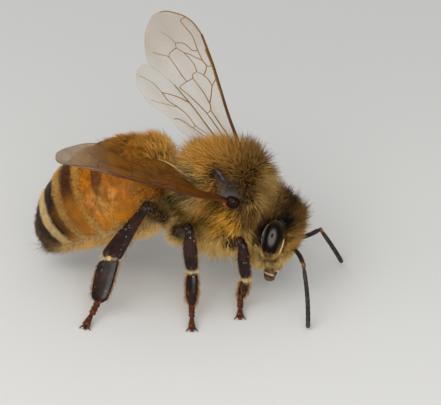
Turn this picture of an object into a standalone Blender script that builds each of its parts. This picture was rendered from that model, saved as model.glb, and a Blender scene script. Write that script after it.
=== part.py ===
"""A worker honey bee at life size, standing with its head low and its left wings raised.

The bee faces +X, its left side is +Y and the floor is Z = 0. Lengths are in millimetres in the tables
below and in metres in the scene. Each solid reaches out to the tips of the coat that grows on it.
"""

import math

import bmesh
import bpy
from mathutils import Euler, Matrix, Vector

MM = 0.001
GAP = 0.025             # space left between neighbouring parts
FEELER_RADIUS = 0.25    # feelers and feet are half a millimetre thick in the solids
WING_THICKNESS = 0.5
SIDES = {"left": 1, "right": -1}

# Stations along the body: x, centre height, half width, height above and depth below the centre.
THORAX_STATIONS = (
    (2.58, 4.80, 0.75, 0.60, 0.75),
    (2.25, 4.75, 1.40, 1.20, 1.50),
    (1.50, 4.60, 2.05, 1.95, 2.25),
    (0.60, 4.50, 2.38, 2.42, 2.50),
    (-0.40, 4.45, 2.42, 2.48, 2.40),
    (-1.20, 4.35, 2.12, 2.22, 1.90),
    (-1.80, 4.20, 1.60, 1.65, 1.35),
    (-2.20, 4.15, 1.05, 0.95, 0.85),
    (-2.42, 4.15, 0.60, 0.45, 0.45),
)

# The abdomen hangs on a bent line from the waist to the tip.
ABDOMEN_START = Vector((-2.48, 0.0, 4.62))
ABDOMEN_BEND = Vector((-5.55, 0.0, 4.95))
ABDOMEN_TIP = Vector((-8.36, 0.0, 1.22))
ABDOMEN_FLATTEN = 1.04  # half width over half height
# Half height against the place along the line, 0 at the waist and 1 at the tip.
ABDOMEN_GIRTH = (
    (0.00, 1.05), (0.03, 1.72), (0.08, 2.12), (0.16, 2.32), (0.28, 2.34), (0.42, 2.28),
    (0.56, 2.16), (0.68, 1.98), (0.78, 1.72), (0.87, 1.34), (0.94, 0.92), (1.00, 0.36),
)
RING_ENDS = (0.0, 0.15, 0.42, 0.62, 0.76, 0.88, 1.0)

HEAD_CENTRE = Vector((2.44, -0.38, 2.73))
HEAD_TURN = Euler((math.radians(-4.5), math.radians(17.9), math.radians(-1.7)), "XYZ")
# Stations up the head, in its own frame with +X out of the face: z, front x, back x, half width.
HEAD_STATIONS = (
    (-1.72, 0.95, 0.30, 0.45),
    (-1.45, 1.15, 0.00, 0.85),
    (-1.00, 1.28, -0.55, 1.28),
    (-0.40, 1.30, -0.85, 1.62),
    (0.25, 1.34, -0.92, 1.72),
    (0.85, 1.42, -0.92, 1.72),
    (1.35, 1.36, -0.85, 1.55),
    (1.80, 1.14, -0.65, 1.15),
    (2.14, 0.66, -0.22, 0.55),
)
EYE_CENTRE = (0.12, 1.42, 0.48)
EYE_RADII = (0.56, 0.48, 1.14)
EYE_LEAN = math.radians(7)      # the tops of the eyes lean inward
MANDIBLE_PATH = ((0.50, 0.72, -1.42), (0.62, 0.62, -1.72), (0.66, 0.40, -2.00), (0.62, 0.14, -2.16))
MANDIBLE_RADII = (0.30, 0.28, 0.24, 0.14)
PROBOSCIS_PATH = ((0.05, 0.0, -1.66), (-0.45, 0.0, -1.48), (-0.80, 0.0, -1.02), (-0.92, 0.0, -0.62))
PROBOSCIS_RADII = (0.24, 0.30, 0.28, 0.20)

NECK = ((1.55, -0.28, 3.30), (2.30, -0.20, 3.95))
NECK_RADIUS = 0.50
WAIST = ((-2.25, 0.0, 4.12), (-3.05, 0.0, 4.42))
WAIST_RADIUS = 0.34

# Feelers: socket, elbow and tip of each one.
FEELERS = {
    "right": ((3.40, -0.81, 2.45), (4.08, -2.04, 2.30), (4.59, -3.90, 0.12)),
    "left": ((3.42, -0.01, 2.40), (4.40, 0.96, 2.48), (5.24, 2.27, 0.12)),
}

# Legs: body end of the coxa, trochanter, knee, end of tibia, end of basitarsus, foot.
LEGS = {
    "fore_right": ((1.05, -0.55, 2.95), (0.10, -0.78, 2.32), (1.35, -2.19, 3.27),
                   (1.56, -2.52, 1.56), (1.27, -2.38, 0.45), (1.43, -3.40, 0.12)),
    "mid_right": ((-0.95, -0.60, 2.95), (-1.95, -1.08, 2.75), (-0.98, -2.71, 4.04),
                  (-0.81, -3.02, 2.02), (-0.74, -3.58, 0.56), (-0.51, -4.80, 0.12)),
    "hind_right": ((-1.75, -0.60, 3.70), (-2.32, -1.05, 3.42), (-2.92, -2.68, 4.94),
                   (-4.57, -3.08, 2.33), (-4.93, -4.10, 0.62), (-5.20, -5.45, 0.12)),
    "fore_left": ((1.05, 0.55, 2.95), (0.10, 0.78, 2.32), (1.42, 2.15, 3.20),
                  (1.72, 2.50, 1.55), (1.68, 2.55, 0.45), (1.95, 3.50, 0.12)),
    "mid_left": ((-0.95, 0.60, 2.95), (-1.95, 1.08, 2.75), (-1.02, 2.68, 3.98),
                 (-0.88, 3.08, 2.00), (-0.84, 3.66, 0.56), (-0.66, 4.88, 0.12)),
    "hind_left": ((-1.75, 0.60, 3.70), (-2.32, 1.05, 3.42), (-2.95, 2.58, 4.74),
                  (-4.58, 3.00, 2.30), (-4.95, 3.92, 0.62), (-5.22, 5.20, 0.12)),
}
# Half width and half thickness of each length of leg at its widest.
LEG_SECTIONS = {
    "fore": {"coxa": (0.40, 0.38), "femur": (0.34, 0.30), "tibia": (0.31, 0.28),
             "basitarsus": (0.27, 0.25), "tarsus": (0.25, 0.25)},
    "mid": {"coxa": (0.42, 0.40), "femur": (0.34, 0.30), "tibia": (0.34, 0.29),
            "basitarsus": (0.32, 0.26), "tarsus": (0.25, 0.25)},
    "hind": {"coxa": (0.45, 0.42), "femur": (0.40, 0.34), "tibia": (0.60, 0.28),
             "basitarsus": (0.60, 0.27), "tarsus": (0.26, 0.25)},
}
# How each length swells from end to end: place along it, share of the widest section.
SWELLS = {
    "coxa": ((0.0, 0.70), (0.3, 1.0), (0.75, 0.80), (1.0, 0.55)),
    "femur": ((0.0, 0.62), (0.3, 1.0), (0.7, 0.92), (1.0, 0.72)),
    "tibia": ((0.0, 0.55), (0.2, 0.72), (0.6, 0.96), (0.88, 1.0), (1.0, 0.80)),
    "basitarsus": ((0.0, 0.80), (0.15, 1.0), (0.8, 0.92), (1.0, 0.60)),
    "tarsus": ((0.0, 0.90), (0.5, 0.95), (1.0, 1.00)),
}
SLIM_TIBIA = ((0.0, 0.62), (0.35, 1.0), (0.7, 1.0), (1.0, 0.72))

# Wings lie in planes given by the way the span and the chord run; points are span, chord.
WING_HINGE = (0.73, 1.75, 5.05)
WING_PLANES = {
    "right": (Vector((-0.83, -0.394, 0.397)), Vector((-0.43, 0.91, 0.0))),
    "left": (Vector((-0.573, 0.656, 0.49)), Vector((-0.768, -0.638, -0.045))),
}
FOREWING_EDGE = (
    (0.25, -0.22), (1.60, -0.50), (3.30, -0.78), (5.10, -1.05), (6.40, -1.35), (7.40, -1.42),
    (8.25, -1.08), (8.82, -0.45), (8.94, 0.25), (8.60, 0.86), (7.90, 1.24), (7.10, 1.50),
    (6.35, 1.66), (5.60, 1.48), (4.70, 1.14), (3.20, 0.72), (1.60, 0.38), (0.25, 0.18),
)
HINDWING_EDGE = (
    (0.45, 0.32), (1.60, 0.50), (3.20, 0.84), (4.70, 1.26), (5.60, 1.60), (6.05, 1.88),
    (6.18, 2.22), (5.95, 2.54), (5.40, 2.72), (4.80, 2.62), (4.20, 2.30), (3.60, 2.14),
    (2.90, 2.00), (2.20, 1.62), (1.50, 1.36), (0.85, 0.92),
)
TEGULA_RADII = (0.42, 0.34, 0.36)

FINISHES = {
    "coat_golden": ((0.34, 0.19, 0.055), 0.85),
    "coat_head": ((0.22, 0.13, 0.05), 0.85),
    "plate_amber": ((0.45, 0.16, 0.02), 0.42),
    "plate_banded": ((0.10, 0.045, 0.02), 0.45),
    "plate_dark": ((0.035, 0.018, 0.012), 0.45),
    "eye": ((0.012, 0.010, 0.012), 0.18),
    "leg_cuticle": ((0.030, 0.012, 0.008), 0.35),
    "foot_cuticle": ((0.14, 0.045, 0.018), 0.45),
    "feeler_cuticle": ((0.035, 0.024, 0.022), 0.55),
    "mouth_cuticle": ((0.12, 0.055, 0.025), 0.40),
    "wing_membrane": ((0.42, 0.30, 0.18), 0.30),
}


def make_collection(name, hidden=False):
    """Links a new collection to the scene, hidden from renders if it holds cutters."""
    collection = bpy.data.collections.new(name)
    collection.hide_render = hidden
    bpy.context.scene.collection.children.link(collection)
    return collection


def make_material(name):
    """A Principled material from the finish table."""
    colour, roughness = FINISHES[name]
    material = bpy.data.materials.get(name) or bpy.data.materials.new(name)
    material.use_nodes = True
    shader = material.node_tree.nodes["Principled BSDF"]
    shader.inputs["Base Color"].default_value = (*colour, 1.0)
    shader.inputs["Roughness"].default_value = roughness
    shader.inputs["Metallic"].default_value = 0.0
    return material


def add_object(name, mesh_builder, finish):
    """Turns a bmesh in millimetres into a named object in metres."""
    bmesh.ops.scale(mesh_builder, vec=(MM, MM, MM), verts=mesh_builder.verts)
    bmesh.ops.recalc_face_normals(mesh_builder, faces=mesh_builder.faces)
    mesh = bpy.data.meshes.new(name)
    mesh_builder.to_mesh(mesh)
    mesh_builder.free()
    mesh.materials.append(make_material(finish))
    obj = bpy.data.objects.new(name, mesh)
    PARTS.objects.link(obj)
    return obj


def loft(rings):
    """Joins unlike sections, given as lists of points, into one closed body with flat ends."""
    body = bmesh.new()
    rows = [[body.verts.new(point) for point in ring] for ring in rings]
    count = len(rows[0])
    for near, far in zip(rows, rows[1:]):
        for i in range(count):
            j = (i + 1) % count
            body.faces.new((near[i], near[j], far[j], far[i]))
    body.faces.new(rows[0])
    body.faces.new(list(reversed(rows[-1])))
    return body


def interpolate(table, place):
    """Reads a value along the straight lines between the rows of a table of (place, value) pairs."""
    if place <= table[0][0]:
        return table[0][1]
    for (low, first), (high, last) in zip(table, table[1:]):
        if place <= high:
            share = (place - low) / (high - low)
            return first + (last - first) * share
    return table[-1][1]


def section(centre, across, upward, half_width, rise, drop, count):
    """A ring about a centre, with its own height above and depth below it."""
    ring = []
    for i in range(count):
        angle = 2 * math.pi * (i + 0.5) / count
        height = rise if math.sin(angle) > 0 else drop
        ring.append(centre + across * (half_width * math.cos(angle)) + upward * (height * math.sin(angle)))
    return ring


def build_thorax():
    """The trunk, out to the tips of its coat."""
    across = Vector((0, 1, 0))
    upward = Vector((0, 0, 1))
    rings = []
    for x, height, half_width, rise, drop in THORAX_STATIONS:
        rings.append(section(Vector((x, 0, height)), across, upward, half_width, rise, drop, 20))
    return add_object("thorax", loft(rings), "coat_golden")


def abdomen_point(place):
    """The point and heading of the abdomen's bent line at a place from 0 to 1."""
    point = (ABDOMEN_START * (1 - place) ** 2 + ABDOMEN_BEND * (2 * place * (1 - place))
             + ABDOMEN_TIP * place ** 2)
    heading = ((ABDOMEN_BEND - ABDOMEN_START) * (1 - place) + (ABDOMEN_TIP - ABDOMEN_BEND) * place)
    return point, heading.normalized()


def abdomen_ring(place, count):
    """One section square to the bent line."""
    point, heading = abdomen_point(place)
    across = Vector((0, 1, 0))
    upward = across.cross(heading) * -1
    if upward.z < 0:
        upward.negate()
    height = interpolate(ABDOMEN_GIRTH, place)
    return section(point, across, upward, height * ABDOMEN_FLATTEN, height, height, count)


def build_abdomen():
    """Six rings of the abdomen, each a closed length with a hairline gap to the next."""
    line_length = 7.2
    half_gap = GAP / line_length / 2
    finishes = ("plate_amber", "plate_amber", "plate_amber", "plate_banded", "plate_banded", "plate_dark")
    rings = []
    for number, (low, high) in enumerate(zip(RING_ENDS, RING_ENDS[1:]), start=1):
        low += half_gap if number > 1 else 0.0
        high -= half_gap if number < 6 else 0.0
        steps = [low] + [place for place, _ in ABDOMEN_GIRTH if low + 0.012 < place < high - 0.012] + [high]
        body = loft([abdomen_ring(place, 24) for place in steps])
        rings.append(add_object(f"abdomen_{number}", body, finishes[number - 1]))
    return rings


def head_matrix():
    """Takes the head's own frame to the bee's frame, in millimetres."""
    return Matrix.Translation(HEAD_CENTRE) @ HEAD_TURN.to_matrix().to_4x4()


def build_head():
    """The head without its eyes and jaws, out to the tips of its coat."""
    rings = []
    for z, front, back, half_width in HEAD_STATIONS:
        centre = Vector((0.0, 0.0, z))
        ring = section(centre, Vector((0, 1, 0)), Vector((1, 0, 0)), half_width, front, -back, 20)
        rings.append([head_matrix() @ point for point in ring])
    return add_object("head", loft(rings), "coat_head")


def build_eye(side):
    """One compound eye, an upright ellipsoid at the side of the head."""
    sign = SIDES[side]
    x, y, z = EYE_CENTRE
    body = bmesh.new()
    bmesh.ops.create_uvsphere(body, u_segments=14, v_segments=9, radius=1.0)
    turn = (head_matrix() @ Matrix.Translation((x, y * sign, z))
            @ Matrix.Rotation(EYE_LEAN * sign, 4, "X") @ Matrix.Diagonal((*EYE_RADII, 1.0)))
    bmesh.ops.transform(body, matrix=turn, verts=body.verts)
    return add_object(f"eye_{side}", body, "eye")


def tube(path, radii, count=8, flat_to=None, flatten=1.0):
    """A closed tube through the points of a path, with domed ends and its own girth at each point."""
    points = [Vector(point) for point in path]
    rings = []
    for i, (point, radius) in enumerate(zip(points, radii)):
        before = points[max(i - 1, 0)]
        after = points[min(i + 1, len(points) - 1)]
        heading = (after - before).normalized()
        side = heading.cross(flat_to or Vector((0, 0, 1)))
        if side.length < 0.1:
            side = heading.cross(Vector((1, 0, 0)))
        side.normalize()
        other = side.cross(heading)
        if i == 0:
            rings.append(section(point - heading * radius * 0.45, side, other, radius * 0.6,
                                 radius * flatten * 0.6, radius * flatten * 0.6, count))
        rings.append(section(point, side, other, radius, radius * flatten, radius * flatten, count))
        if i == len(points) - 1:
            rings.append(section(point + heading * radius * 0.45, side, other, radius * 0.6,
                                 radius * flatten * 0.6, radius * flatten * 0.6, count))
    return loft(rings)


def build_mouth():
    """Two mandibles and the folded proboscis behind them."""
    parts = []
    for side, sign in SIDES.items():
        path = [head_matrix() @ Vector((x, y * sign, z)) for x, y, z in MANDIBLE_PATH]
        parts.append(add_object(f"mandible_{side}", tube(path, MANDIBLE_RADII), "mouth_cuticle"))
    path = [head_matrix() @ Vector(point) for point in PROBOSCIS_PATH]
    parts.append(add_object("proboscis", tube(path, PROBOSCIS_RADII), "mouth_cuticle"))
    return parts


def build_link(name, ends, radius, finish):
    """A short plain tube, for the neck and the waist."""
    return add_object(name, tube(ends, (radius, radius), count=14), finish)


def flatten_on_floor(body):
    """Presses whatever is below the floor up onto it, which leaves a small flat."""
    for vert in body.verts:
        vert.co.z = max(vert.co.z, 0.0)
    return body


def build_feeler(side):
    """Scape and flagellum of one feeler; its tip rests on the floor."""
    socket, elbow, tip = (Vector(point) for point in FEELERS[side])
    scape_end = elbow + (socket - elbow).normalized() * FEELER_RADIUS * 0.5
    scape = tube((socket, scape_end), (FEELER_RADIUS, FEELER_RADIUS))
    steps = [elbow.lerp(tip, share) for share in (0.08, 0.5, 1.0)]
    flagellum = flatten_on_floor(tube(steps, (FEELER_RADIUS,) * 3))
    return [add_object(f"scape_{side}", scape, "feeler_cuticle"),
            add_object(f"flagellum_{side}", flagellum, "feeler_cuticle")]


def leg_length(name, start, end, half_width, half_thickness, swell, broad_way, finish):
    """One length of a leg, broad across broad_way and swelling as its table says."""
    points = [Vector(start).lerp(Vector(end), place) for place, _ in swell]
    radii = [half_width * share for _, share in swell]
    heading = (Vector(end) - Vector(start)).normalized()
    thin_way = heading.cross(broad_way).normalized()
    body = tube(points, radii, flat_to=thin_way, flatten=half_thickness / half_width)
    return add_object(name, flatten_on_floor(body), finish)


def build_leg(name):
    """Five lengths of one leg, from the coxa to the foot."""
    pair, side = name.split("_")
    joints = [Vector(point) for point in LEGS[name]]
    broad_way = Vector((1.0, 0.25 * SIDES[side], 0.0))
    lengths = []
    for i, kind in enumerate(("coxa", "femur", "tibia", "basitarsus", "tarsus")):
        half_width, half_thickness = LEG_SECTIONS[pair][kind]
        swell = SLIM_TIBIA if kind == "tibia" and pair != "hind" else SWELLS[kind]
        heading = (joints[i + 1] - joints[i]).normalized()
        inset = 0.10 if i else 0.0
        start = joints[i] + heading * inset
        end = joints[i + 1] - heading * 0.12 if kind != "tarsus" else joints[i + 1]
        finish = "foot_cuticle" if kind == "tarsus" else "leg_cuticle"
        lengths.append(leg_length(f"{kind}_{name}", start, end, half_width, half_thickness,
                                  swell, broad_way, finish))
    return lengths


def smooth_outline(edge, steps=2):
    """Rounds a closed outline with a Catmull-Rom curve through its points."""
    count = len(edge)
    rounded = []
    for i in range(count):
        a, b, c, d = (Vector((*edge[(i + k) % count], 0.0)) for k in (-1, 0, 1, 2))
        for step in range(steps):
            t = step / steps
            rounded.append(0.5 * (2 * b + (c - a) * t + (2 * a - 5 * b + 4 * c - d) * t ** 2
                                  + (3 * b - a - 3 * c + d) * t ** 3))
    return rounded


def build_wing(kind, side, edge):
    """One flat wing blade, thickened on both faces."""
    span, chord = (axis.normalized() for axis in WING_PLANES[side])
    lift = span.cross(chord)
    x, y, z = WING_HINGE
    place = Matrix.Translation((x, y * SIDES[side], z)) @ Matrix((span, chord, lift)).transposed().to_4x4()
    blade = bmesh.new()
    outline = [blade.verts.new(place @ point) for point in smooth_outline(edge)]
    bmesh.ops.contextual_create(blade, geom=outline)
    wing = add_object(f"{kind}_{side}", blade, "wing_membrane")
    thicken = wing.modifiers.new("thicken", "SOLIDIFY")
    thicken.thickness = WING_THICKNESS * MM
    thicken.offset = 0.0
    return wing


def build_tegula(side):
    """The small shield over the root of the wings."""
    x, y, z = WING_HINGE
    body = bmesh.new()
    bmesh.ops.create_uvsphere(body, u_segments=10, v_segments=6, radius=1.0)
    place = Matrix.Translation((x + 0.08, (y + 0.24) * SIDES[side], z + 0.02))
    bmesh.ops.transform(body, matrix=place @ Matrix.Diagonal((*TEGULA_RADII, 1.0)), verts=body.verts)
    return add_object(f"tegula_{side}", body, "leg_cuticle")


def make_cutter(obj):
    """A slightly swollen copy of a part, which cuts its neighbours to fit round it."""
    cutter = obj.copy()
    cutter.data = obj.data.copy()
    cutter.name = f"cutter_{obj.name}"
    cutter.display_type = "WIRE"
    cutter.hide_render = True
    swell = cutter.modifiers.new("swell", "DISPLACE")
    swell.mid_level = 0.0
    swell.strength = GAP * MM
    CUTTERS.objects.link(cutter)


def cut_round(target, neighbours):
    """Cuts a part back so that its neighbours fit against it and nothing overlaps."""
    for neighbour in neighbours:
        cut = target.modifiers.new(f"fit_{neighbour.name}", "BOOLEAN")
        cut.operation = "DIFFERENCE"
        cut.solver = "EXACT"
        cut.object = bpy.data.objects[f"cutter_{neighbour.name}"]


def fit_parts(parts):
    """Settles which of two touching parts gives way to the other."""
    def named(*names):
        return [parts[name] for name in names]

    for obj in parts.values():
        make_cutter(obj)
    for side in SIDES:
        cut_round(parts[f"forewing_{side}"], named(f"tegula_{side}"))
        cut_round(parts[f"flagellum_{side}"], named(f"scape_{side}"))
        cut_round(parts[f"mandible_{side}"], named("head"))
    cut_round(parts["proboscis"], named("head"))
    cut_round(parts["head"], named("eye_left", "eye_right", "neck", "scape_left", "scape_right"))
    roots = [f"coxa_{name}" for name in LEGS] + [f"femur_{name}" for name in LEGS]
    wings = [f"{kind}_{side}" for kind in ("forewing", "hindwing", "tegula") for side in SIDES]
    cut_round(parts["thorax"], named("head", "proboscis", "neck", "waist", "abdomen_1",
                                     *wings, *roots))
    cut_round(parts["abdomen_1"], named("waist", "femur_hind_left", "femur_hind_right",
                                        "hindwing_left", "hindwing_right"))
    for name in LEGS:
        lengths = [f"{kind}_{name}" for kind in ("coxa", "femur", "tibia", "basitarsus", "tarsus")]
        for inner, outer in zip(lengths, lengths[1:]):
            cut_round(parts[outer], named(inner))


def place_on_origin(objects):
    """Moves the bee so that the middle of its underside box is the origin."""
    bpy.context.view_layer.update()
    graph = bpy.context.evaluated_depsgraph_get()
    corners = []
    for obj in objects:
        seen = obj.evaluated_get(graph)
        corners += [seen.matrix_world @ Vector(corner) for corner in seen.bound_box]
    low = Vector([min(corner[i] for corner in corners) for i in range(3)])
    high = Vector([max(corner[i] for corner in corners) for i in range(3)])
    origin = bpy.data.objects.new("bee_origin", None)
    PARTS.objects.link(origin)
    for obj in list(objects) + list(CUTTERS.objects):
        obj.parent = origin
    origin.location = (-(low.x + high.x) / 2, -(low.y + high.y) / 2, -low.z)


def build_bee():
    """Builds every part and fits them together."""
    made = [build_thorax(), build_head(), *build_abdomen(), *build_mouth()]
    made.append(build_link("neck", NECK, NECK_RADIUS, "plate_dark"))
    made.append(build_link("waist", WAIST, WAIST_RADIUS, "plate_dark"))
    for side in SIDES:
        made += [build_eye(side), build_tegula(side), *build_feeler(side)]
        made.append(build_wing("forewing", side, FOREWING_EDGE))
        made.append(build_wing("hindwing", side, HINDWING_EDGE))
    for name in LEGS:
        made += build_leg(name)
    fit_parts({obj.name: obj for obj in made})
    place_on_origin(made)


for old in list(bpy.data.objects):
    bpy.data.objects.remove(old, do_unlink=True)
PARTS = make_collection("honey_bee")
CUTTERS = make_collection("cutters", hidden=True)
build_bee()
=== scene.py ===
"""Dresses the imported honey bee: plates, coat, eyes, feelers, legs and wings, on a plain pale stage.

The bee is a still worker at life size. Sizes are in millimetres in the bee's own axes, +X ahead, +Y to its
left and +Z up, with the floor at zero; they become metres in the frame only when a mesh is finished.
"""

import logging
import math
from dataclasses import dataclass
from enum import Enum
from functools import cache
from typing import Sequence

import bmesh
import bpy
import numpy as np
from mathutils import Euler, Matrix, Vector, noise


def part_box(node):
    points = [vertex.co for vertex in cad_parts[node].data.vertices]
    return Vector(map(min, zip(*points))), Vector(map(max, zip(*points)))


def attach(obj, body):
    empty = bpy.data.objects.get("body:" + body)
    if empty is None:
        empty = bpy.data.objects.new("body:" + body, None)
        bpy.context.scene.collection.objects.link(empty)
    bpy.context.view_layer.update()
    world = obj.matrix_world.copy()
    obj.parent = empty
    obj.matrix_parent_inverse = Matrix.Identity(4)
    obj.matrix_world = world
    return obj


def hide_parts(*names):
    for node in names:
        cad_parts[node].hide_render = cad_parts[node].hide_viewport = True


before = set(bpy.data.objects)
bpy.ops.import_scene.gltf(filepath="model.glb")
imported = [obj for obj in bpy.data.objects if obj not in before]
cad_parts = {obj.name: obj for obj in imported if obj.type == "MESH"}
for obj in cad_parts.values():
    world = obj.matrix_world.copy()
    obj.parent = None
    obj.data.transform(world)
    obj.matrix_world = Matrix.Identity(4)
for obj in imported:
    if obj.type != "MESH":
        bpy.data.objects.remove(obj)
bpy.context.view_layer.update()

LOG = logging.getLogger("honey_bee")
BODY = "root"
MM = 0.001
NOISE_SEED = 11
TEGULA_MIDDLE = Vector((0.81, 0.0, 5.07))   # midway between the two wing-base plates, in the bee's axes
PATCH_WIDTH = 0.003                         # side of one tuft's patch on the bake map

Socket = bpy.types.NodeSocket
Material = bpy.types.Material
Colour = tuple[float, float, float]
Rows = Sequence[Sequence[float]]
Field = np.ndarray | float
Feed = Socket | float | int | str | Sequence[float]


class Side(Enum):
    """The two sides of the bee, with the sign of their Y."""

    LEFT = 1
    RIGHT = -1

    @property
    def word(self) -> str:
        """The side as it is written in a node's name."""
        return self.name.lower()


class Pair(Enum):
    """The three pairs of legs."""

    FORE = "fore"
    MID = "mid"
    HIND = "hind"


class Length(Enum):
    """The lengths of a leg, from the body outwards."""

    COXA = "coxa"
    FEMUR = "femur"
    TIBIA = "tibia"
    BASITARSUS = "basitarsus"
    TARSUS = "tarsus"


class Slot(Enum):
    """The record's material slots."""

    COAT_GOLDEN = "coat_golden"
    COAT_HEAD = "coat_head"
    PLATE_AMBER = "plate_amber"
    PLATE_BANDED = "plate_banded"
    PLATE_DARK = "plate_dark"
    EYE = "eye"
    LEG = "leg_cuticle"
    FOOT = "foot_cuticle"
    FEELER = "feeler_cuticle"
    MOUTH = "mouth_cuticle"
    WING = "wing_membrane"


def find_origin() -> np.ndarray:
    """Finds the bee's zero point in the frame from the two wing-base plates.

    Returns:
        The zero point in metres.
    """
    corners = [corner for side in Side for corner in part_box(f"tegula_{side.word}")]
    middle = sum(corners, Vector()) / len(corners)
    return np.array(middle - TEGULA_MIDDLE * MM)


ORIGIN = find_origin()


def in_frame(points: np.ndarray) -> np.ndarray:
    """Turns bee millimetres into metres in the frame."""
    return ORIGIN + points * MM


# ---------------------------------------------------------------------------------------------- shapes


class Profile:
    """A smooth run of sizes through the rows of a table whose first column is the place."""

    def __init__(self, rows: Rows) -> None:
        """Takes the rows of the table.

        Args:
            rows: A place and the sizes there, one row for each place, in any order.
        """
        table = np.array(sorted(tuple(row) for row in rows), dtype=float)
        self.places = table[:, 0]
        self.sizes = table[:, 1:]
        slopes = np.diff(self.sizes, axis=0) / np.diff(self.places)[:, None]
        before, after = slopes[:-1], slopes[1:]
        total = np.where(np.abs(before + after) > 1e-9, before + after, 1.0)
        self.slopes = np.vstack([slopes[:1], np.where(before * after > 0, 2 * before * after / total, 0.0),
                                 slopes[-1:]])

    def at(self, places: Field) -> np.ndarray:
        """Reads the sizes.

        Args:
            places: One place or several.

        Returns:
            One row of sizes for each place.
        """
        places = np.clip(np.atleast_1d(places), self.places[0], self.places[-1])
        low = np.clip(np.searchsorted(self.places, places, side="right") - 1, 0, len(self.places) - 2)
        step = (self.places[low + 1] - self.places[low])[:, None]
        share = (places - self.places[low])[:, None] / step
        rest = 1 - share
        return ((1 + 2 * share) * rest**2 * self.sizes[low] + share * rest**2 * step * self.slopes[low]
                + share**2 * (3 - 2 * share) * self.sizes[low + 1]
                - share**2 * rest * step * self.slopes[low + 1])


def ease(value: Field, low: float, high: float) -> np.ndarray:
    """Rises smoothly from 0 at low to 1 at high; low may be the larger."""
    share = np.clip((value - low) / (high - low), 0.0, 1.0)
    return share * share * (3 - 2 * share)


def hump(distance: Field, width: float) -> np.ndarray:
    """A rounded bump: 1 at no distance, falling away over the width."""
    return np.exp(-(np.asarray(distance) / width) ** 2)


def unit(vectors: np.ndarray) -> np.ndarray:
    """Scales vectors to length 1."""
    return vectors / np.maximum(np.linalg.norm(vectors, axis=-1, keepdims=True), 1e-9)


def smooth_path(points: Rows, steps: int = 6) -> np.ndarray:
    """Draws a smooth path through points.

    Args:
        points: The points, in any number of dimensions.
        steps: How many steps lie between two points.

    Returns:
        The points of the path.
    """
    rows = np.array(points, dtype=float)
    if len(rows) == 2:
        return rows[0] + np.linspace(0, 1, steps + 1)[:, None] * (rows[1] - rows[0])
    lengths = np.concatenate([[0], np.cumsum(np.linalg.norm(np.diff(rows, axis=0), axis=1))])
    profile = Profile(np.column_stack([lengths, rows]))
    places = np.concatenate([np.linspace(a, b, steps, endpoint=False) for a, b in zip(lengths, lengths[1:])])
    return profile.at(np.append(places, lengths[-1]))


@dataclass
class Grid:
    """A skin laid out in rows along a part and columns round it.

    Args:
        points: Rows by columns of points, in bee millimetres.
        place: The same points in the part's own axes, which its markings read.
    """

    points: np.ndarray
    place: np.ndarray

    @property
    def normals(self) -> np.ndarray:
        """Works out which way is outward.

        Returns:
            A normal at each point.
        """
        along = np.gradient(self.points, axis=0)
        around = np.roll(self.points, -1, axis=1) - np.roll(self.points, 1, axis=1)
        normals = unit(np.cross(around, along))
        outward = self.points - self.points.mean(axis=1, keepdims=True)
        return normals * np.sign((normals * outward).sum(axis=-1).mean())

    def moved(self, amount: np.ndarray) -> "Grid":
        """The same skin with each point pushed out along its normal."""
        return Grid(self.points + self.normals * amount[..., None], self.place)


def tube_grid(path: np.ndarray, radii: np.ndarray, sides: int, thin_way: Vector | None = None,
              flatten: Field = 1.0, boxy: float = 1.0) -> Grid:
    """Lays a skin round a path.

    Args:
        path: The points of the middle line.
        radii: The half width at each point.
        sides: How many columns go round.
        thin_way: The way the tube is thin, if it is flattened.
        flatten: The half thickness over the half width, one value or one for each point.
        boxy: Under 1 squares the section up.

    Returns:
        The skin, with a place of the share along, the share round and the radius.
    """
    count = len(path)
    radii = np.broadcast_to(radii, (count,))
    flatten = np.broadcast_to(flatten, (count,))
    heading = unit(np.gradient(path, axis=0))
    normal = np.array(thin_way if thin_way is not None else Vector(heading[0]).orthogonal())
    angles = 2 * np.pi * np.arange(sides) / sides
    wide = np.sign(np.cos(angles)) * np.abs(np.cos(angles)) ** boxy
    thin = np.sign(np.sin(angles)) * np.abs(np.sin(angles)) ** boxy
    rings = []
    for i in range(count):
        normal = unit(normal - heading[i] * np.dot(normal, heading[i]))
        across = np.cross(heading[i], normal)
        rings.append(path[i] + radii[i] * (wide[:, None] * across + flatten[i] * thin[:, None] * normal))
    along = np.repeat(np.linspace(0, 1, count)[:, None], sides, axis=1)
    around = np.repeat((angles / (2 * np.pi))[None, :], count, axis=0)
    depth = np.repeat(radii[:, None], sides, axis=1)
    return Grid(np.array(rings), np.stack([along, around, depth], axis=-1))


def ball_grid(centre: Sequence[float], radii: Sequence[float], turn: Matrix | None = None,
              rows: int = 14, sides: int = 20) -> Grid:
    """Lays a skin round an ellipsoid whose rows run up its own Z.

    Args:
        centre: Its middle, before the turn's own shift.
        radii: Its half sizes.
        turn: A matrix from the part's axes to the bee's, or None.
        rows: How many rows there are.
        sides: How many columns go round.

    Returns:
        The skin, with a place in the part's own axes.
    """
    rise = np.linspace(-np.pi / 2, np.pi / 2, rows + 2)[1:-1]
    angles = 2 * np.pi * np.arange(sides) / sides
    ball = np.stack([np.cos(rise)[:, None] * np.cos(angles), np.cos(rise)[:, None] * np.sin(angles),
                     np.repeat(np.sin(rise)[:, None], sides, axis=1)], axis=-1)
    local = ball * np.array(radii) + np.array(centre)
    return Grid(apply_matrix(turn, local) if turn is not None else local, local)


def apply_matrix(matrix: Matrix, points: np.ndarray) -> np.ndarray:
    """Moves points by a 4 by 4 matrix."""
    table = np.array(matrix)
    return points @ table[:3, :3].T + table[:3, 3]


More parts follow.
